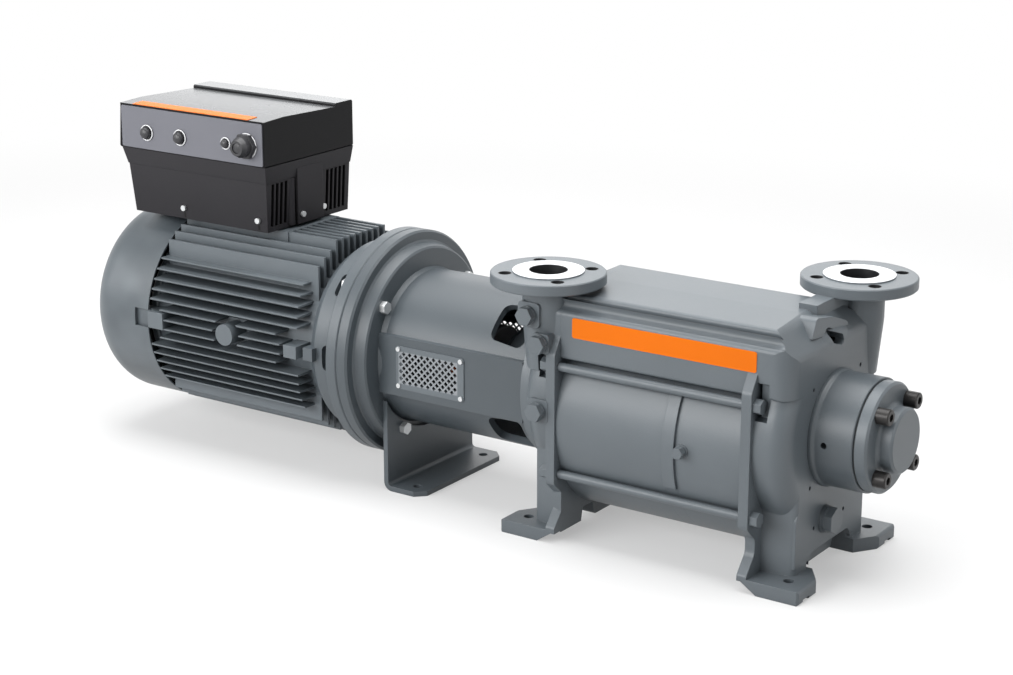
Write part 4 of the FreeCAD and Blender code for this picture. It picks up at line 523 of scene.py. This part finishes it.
finishes = [
    (plainEnamel("castEnamel", enamel["castDepth"]),
     ("first_stage_body", "second_stage_body", "interstage_plate", "bearing_cover",
      "drive_end_bearing_housing", "drive_end_bearing_cover", "motor_rear_shield", "motor_frame",
      "end_plug", "casing_plugs", "tie_rods", "tie_rod_nuts")),
    # darker copies of the enamel: painted shade on the bearing housing, motor shield, lantern and
    # bracket
    (plainEnamel("darkerEnamel", enamel["castDepth"], enamel["darker"]),
     ("free_end_bearing_housing", "motor_flange_shield")),
    (plainEnamel("weldedEnamel", enamel["castDepth"], enamel["welded"], edge=0.0), ("lantern",)),
    (plainEnamel("bracketEnamel", enamel["sheetDepth"], enamel["darker"]), ("foot_bracket",)),
    (guardSheet("guardSheet"), ("front_guard", "rear_guard")),
    (cowlEnamel("cowlEnamel"), ("fan_cowl",)),
    (enamelWithBareFace("enamelAndSuctionFace", flangeFace["suction"]), ("drive_end_casing",)),
    (enamelWithBareFace("enamelAndDischargeFace", flangeFace["discharge"]), ("free_end_casing",)),
    (turnedSteel("turnedSteel"),
     ("pump_shaft", "motor_shaft", "pump_shaft_keys", "motor_shaft_key", "pump_bearing_inner_rings",
      "pump_bearing_outer_rings", "pump_bearing_rollers", "motor_bearing_inner_rings",
      "motor_bearing_outer_rings")),
    (turnedSteel("portPlateSteel"), ("drive_end_port_plate", "free_end_port_plate")),
    (zincPlate("zincPlate"),
     ("guard_screws", "lantern_bolts", "lantern_ring_bolts", "motor_flange_bolts", "cowl_screws",
      "drive_screws")),
    (blackOxide("blackOxide"), ("bearing_cover_screws",)),
    (bareCasting("castBronze"), ("first_stage_impeller", "second_stage_impeller")),
    (stackedSheet("stackedSheet"), ("stator_core", "rotor_core")),
    (windingWire("varnishedWire"), ("stator_windings",)),
    (bareCasting("bareGreyIron"), ("motor_coupling_hub", "pump_coupling_hub")),
    (mouldedPlastic("orangeElastomer"), ("coupling_spider",)),
    (mouldedPlastic("sealCarbon"), ("shaft_seal_faces", "shaft_seal_seats")),
    (mouldedPlastic("valveFlapSheet"), ("discharge_valve_flap",)),
    (mouldedPlastic("gasketSheet"), ("cover_gasket",)),
    (mouldedPlastic("fanPlastic"), ("cooling_fan",)),
    (driveTubCoating("driveTubCoating"), ("drive_base",)),
    (driveLacquerFinish("driveLacquer"), ("drive_cover",)),
    (mouldedPlastic("drivePanelGrey"), ("drive_front_panel",)),
    (plugBlack, ("drive_gland", "drive_blanking_plugs")),
    (orangeFilm("orangeFilm"), ("name_strip", "drive_name_strip")),
    (circuitBoard("circuitBoard"), ("drive_board",)),
]
for material, names in finishes:
    for name in names:
        mesh = nodes[name].data
        mesh.materials.clear()
        mesh.materials.append(material)
print("finishes on", sum(len(names) for material, names in finishes), "nodes")


def pieceFromFaces(name, points, faces, material, body, smooth=True):
    mesh = bpy.data.meshes.new(name)
    mesh.from_pydata(points, [], faces)
    mesh.materials.append(material)
    for polygon in mesh.polygons:
        polygon.use_smooth = smooth
    piece = bpy.data.objects.new(name, mesh)
    bpy.context.scene.collection.objects.link(piece)
    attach(piece, body)


def turnedAlongY(centre, profile, sides, closed):
    # profile is (distance towards the near side, radius); closed is a ring, otherwise it gets end faces
    points, faces = [], []
    for out, radius in profile:
        for step in range(sides):
            angle = 2 * math.pi * (step + 0.5) / sides
            points.append((centre[0] + radius * math.cos(angle), centre[1] - out,
                           centre[2] + radius * math.sin(angle)))
    rows = len(profile)
    for row in range(rows if closed else rows - 1):
        here, beyond = row * sides, (row + 1) % rows * sides
        for step in range(sides):
            after = (step + 1) % sides
            faces.append((here + step, here + after, beyond + after, beyond + step))
    if not closed:
        faces.append(tuple(range(sides))[::-1])
        faces.append(tuple((rows - 1) * sides + step for step in range(sides)))
    return points, faces


# On the drive's front panel: bright rings, domed caps over the blanking plugs, insert in the gland
panelFittings = {
    # distance from the cover's end nearest the pump, height above the floor, radius of the ring
    "places": {"gland": (0.033, 0.506, 0.0190), "leftPlug": (0.241, 0.503, 0.0120),
               "middlePlug": (0.171, 0.503, 0.0120), "smallPlug": (0.076, 0.505, 0.0088)},
    "sides": 48, "thickness": 0.0010, "proud": 0.0014, "ringSteps": 10,
    "capShare": 0.78, "capFrom": 0.001, "capLift": 0.0115, "capLiftRing": 0.0120, "capSkirt": 0.45,
    "capSteps": 9, "insertFrom": 0.0141, "insertTo": 0.0246, "insertRadius": 0.00795,
    "insertRim": 0.0004, "insertChamfer": 0.0008}


def ringProfile(radius):
    look = panelFittings
    angles = [2 * math.pi * i / look["ringSteps"] for i in range(look["ringSteps"])]
    return [(look["thickness"] * math.sin(angle), radius + look["thickness"] * math.cos(angle))
            for angle in angles]


def capProfile(ringRadius):
    # straight skirt, then a dome that closes to a small flat
    look = panelFittings
    radius = ringRadius * look["capShare"]
    lift = look["capLift"] * ringRadius / look["capLiftRing"]
    skirt = look["capSkirt"]
    angles = [math.pi / 2 * i / look["capSteps"] for i in range(1, look["capSteps"])]
    dome = [(lift * (skirt + (1 - skirt) * math.sin(angle)), radius * math.cos(angle))
            for angle in angles]
    return [(look["capFrom"], radius), (lift * skirt, radius)] + dome


def insertProfile():
    look = panelFittings
    end, radius = look["insertTo"], look["insertRadius"]
    return [(look["insertFrom"], radius), (end, radius),
            (end + look["insertRim"], radius - look["insertChamfer"])]


def makePanelFittings():
    look = panelFittings
    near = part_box("drive_front_panel")[0].y
    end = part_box("drive_cover")[1].x
    for name, (inset, z, radius) in look["places"].items():
        x = end - inset
        centre = (x, near - look["proud"], z)
        points, faces = turnedAlongY(centre, ringProfile(radius), look["sides"], True)
        pieceFromFaces(name + "Ring", points, faces, ringWhite, "static_frame")
        profile = insertProfile() if name == "gland" else capProfile(radius)
        points, faces = turnedAlongY((x, near, z), profile, look["sides"], False)
        pieceFromFaces(name + "Cap", points, faces, plugBlack, "static_frame")


# Casing wall behind each upper rod nut, in the room for the spanner, so that no gap looks hollow
nutWall = {"from": 0.1665, "to": 0.1835, "inside": 0.1285, "outside": 0.1300, "bottom": 0.244,
           "top": 0.306, "corner": 0.004}


def makeNutWalls():
    look = nutWall
    start, end, bottom, top = look["from"], look["to"], look["bottom"], look["top"]
    cut = look["corner"]
    outline = [(start, bottom), (end - cut, bottom), (end, bottom + cut),
               (end, top - cut), (end - cut, top), (start, top)]
    count = len(outline)
    faces = [tuple(range(count)), tuple(range(2 * count - 1, count - 1, -1))]
    faces += [(i, i + count, (i + 1) % count + count, (i + 1) % count) for i in range(count)]
    depths = (look["inside"], look["outside"])
    for endName, way in (("Drive", -1), ("Free", 1)):
        for sideName, out in (("Near", -1), ("Far", 1)):
            points = [(way * x, out * y, z) for y in depths for x, z in outline]
            pieceFromFaces("nutWall" + endName + sideName, points, faces, pocketEnamel,
                           "static_frame", False)


makePanelFittings()
makeNutWalls()
print("panel fittings and nut walls made")

# To the camera the floor is pale with the object's shadow, and plain white further away
studio = {"floorHalf": 9.0, "floorShade": 0.5, "floorGlow": 0.38, "whiteCentre": -0.35,
          "whiteFlatten": 0.8, "whiteFrom": 1.3, "whiteTo": 2.6, "sky": 0.26}


def makeFloor():
    mesh = bpy.data.meshes.new("studioFloor")
    half = studio["floorHalf"]
    corners = [(-half, -half, 0), (half, -half, 0), (half, half, 0), (-half, half, 0)]
    mesh.from_pydata(corners, [], [(0, 1, 2, 3)])
    floor = bpy.data.objects.new("studioFloor", mesh)
    bpy.context.scene.collection.objects.link(floor)
    f = Finish("studioFloorWhite")
    x, y, _ = f.axes()
    level = studio["floorShade"]
    cloth = f.add("ShaderNodeBsdfDiffuse", None, {"Color": (level, level, level, 1)}).outputs[0]
    nearGlow = f.add("ShaderNodeEmission", None, {"Strength": studio["floorGlow"]}).outputs[0]
    farGlow = f.add("ShaderNodeEmission", None, {"Strength": 1.0}).outputs[0]
    along = (x - studio["whiteCentre"]) * studio["whiteFlatten"]
    away = (along ** 2.0 + y ** 2.0).root().step(studio["whiteFrom"], studio["whiteTo"])
    near = f.add("ShaderNodeAddShader", None, {0: cloth, 1: nearGlow}).outputs[0]
    shown = f.add("ShaderNodeMixShader", None, {0: away, 1: near, 2: farGlow}).outputs[0]
    both = f.add("ShaderNodeMixShader", None, {0: f.seenDirectly(), 1: cloth, 2: shown}).outputs[0]
    f.add("ShaderNodeOutputMaterial", None, {0: both})
    mesh.materials.append(f.material)


def makeSky():
    # white to the camera and in reflections, a weak even light on the object
    world = bpy.data.worlds.new("studioSky")
    bpy.context.scene.world = world
    world.use_nodes = True
    tree = ShaderTree(world.node_tree)
    white = (1, 1, 1, 1)
    lit = tree.add("ShaderNodeBackground", None, {0: white, 1: studio["sky"]}).outputs[0]
    seen = tree.add("ShaderNodeBackground", None, {0: white, 1: 1.0}).outputs[0]
    mixed = tree.add("ShaderNodeMixShader", None, {0: tree.seenDirectly(), 1: lit, 2: seen}).outputs[0]
    tree.add("ShaderNodeOutputWorld", None, {0: mixed})


# Softboxes: place, point they face, width and height, all in metres, and power in watts
lamps = {
    "topSoftbox": {"place": (-0.3, 0.2, 2.6), "target": (-0.3, 0.0, 0.2), "size": (3.4, 2.2),
                   "power": 96.0},
    "frontSoftbox": {"place": (-1.1, -2.7, 1.35), "target": (-0.35, 0.0, 0.25), "size": (2.6, 1.2),
                     "power": 74.0},
    "leftSoftbox": {"place": (-2.6, -1.9, 1.3), "target": (-0.4, 0.0, 0.25), "size": (1.6, 1.6),
                    "power": 16.0},
    "rightSoftbox": {"place": (2.6, -0.6, 1.4), "target": (0.0, 0.0, 0.25), "size": (1.4, 1.6),
                     "power": 9.0},
    "backSoftbox": {"place": (-1.9, 2.5, 1.5), "target": (-0.3, 0.0, 0.3), "size": (3.6, 1.2),
                    "power": 20.0}}


def makeLamp(name, look):
    lamp = bpy.data.lights.new(name, "AREA")
    lamp.shape = "RECTANGLE"
    lamp.size, lamp.size_y = look["size"]
    lamp.energy = look["power"]
    holder = bpy.data.objects.new(name, lamp)
    bpy.context.scene.collection.objects.link(holder)
    holder.location = look["place"]
    aim = Vector(look["target"]) - Vector(look["place"])
    holder.rotation_euler = aim.to_track_quat("-Z", "Y").to_euler()
    holder.visible_camera = False


# Camera of the photograph: turn and tilt in degrees, focal length in pixels of its image
view = {"place": (1.4568, -2.6072, 1.1858), "turn": 34.5, "tilt": 16.62, "focal": 2195.35,
        "imageWidth": 1013, "sensorWidth": 36.0, "farthest": 60.0}


def makeCamera():
    data = bpy.data.cameras.new("photoView")
    data.sensor_fit = "HORIZONTAL"
    data.sensor_width = view["sensorWidth"]
    data.lens = view["sensorWidth"] * view["focal"] / view["imageWidth"]
    data.clip_end = view["farthest"]
    holder = bpy.data.objects.new("photoView", data)
    bpy.context.scene.collection.objects.link(holder)
    holder.location = view["place"]
    holder.rotation_euler = (math.radians(90 - view["tilt"]), 0, math.radians(view["turn"]))
    bpy.context.scene.camera = holder


makeFloor()
makeSky()
for name, look in lamps.items():
    makeLamp(name, look)
makeCamera()
bpy.context.scene.view_settings.view_transform = "Standard"
print("studio ready")
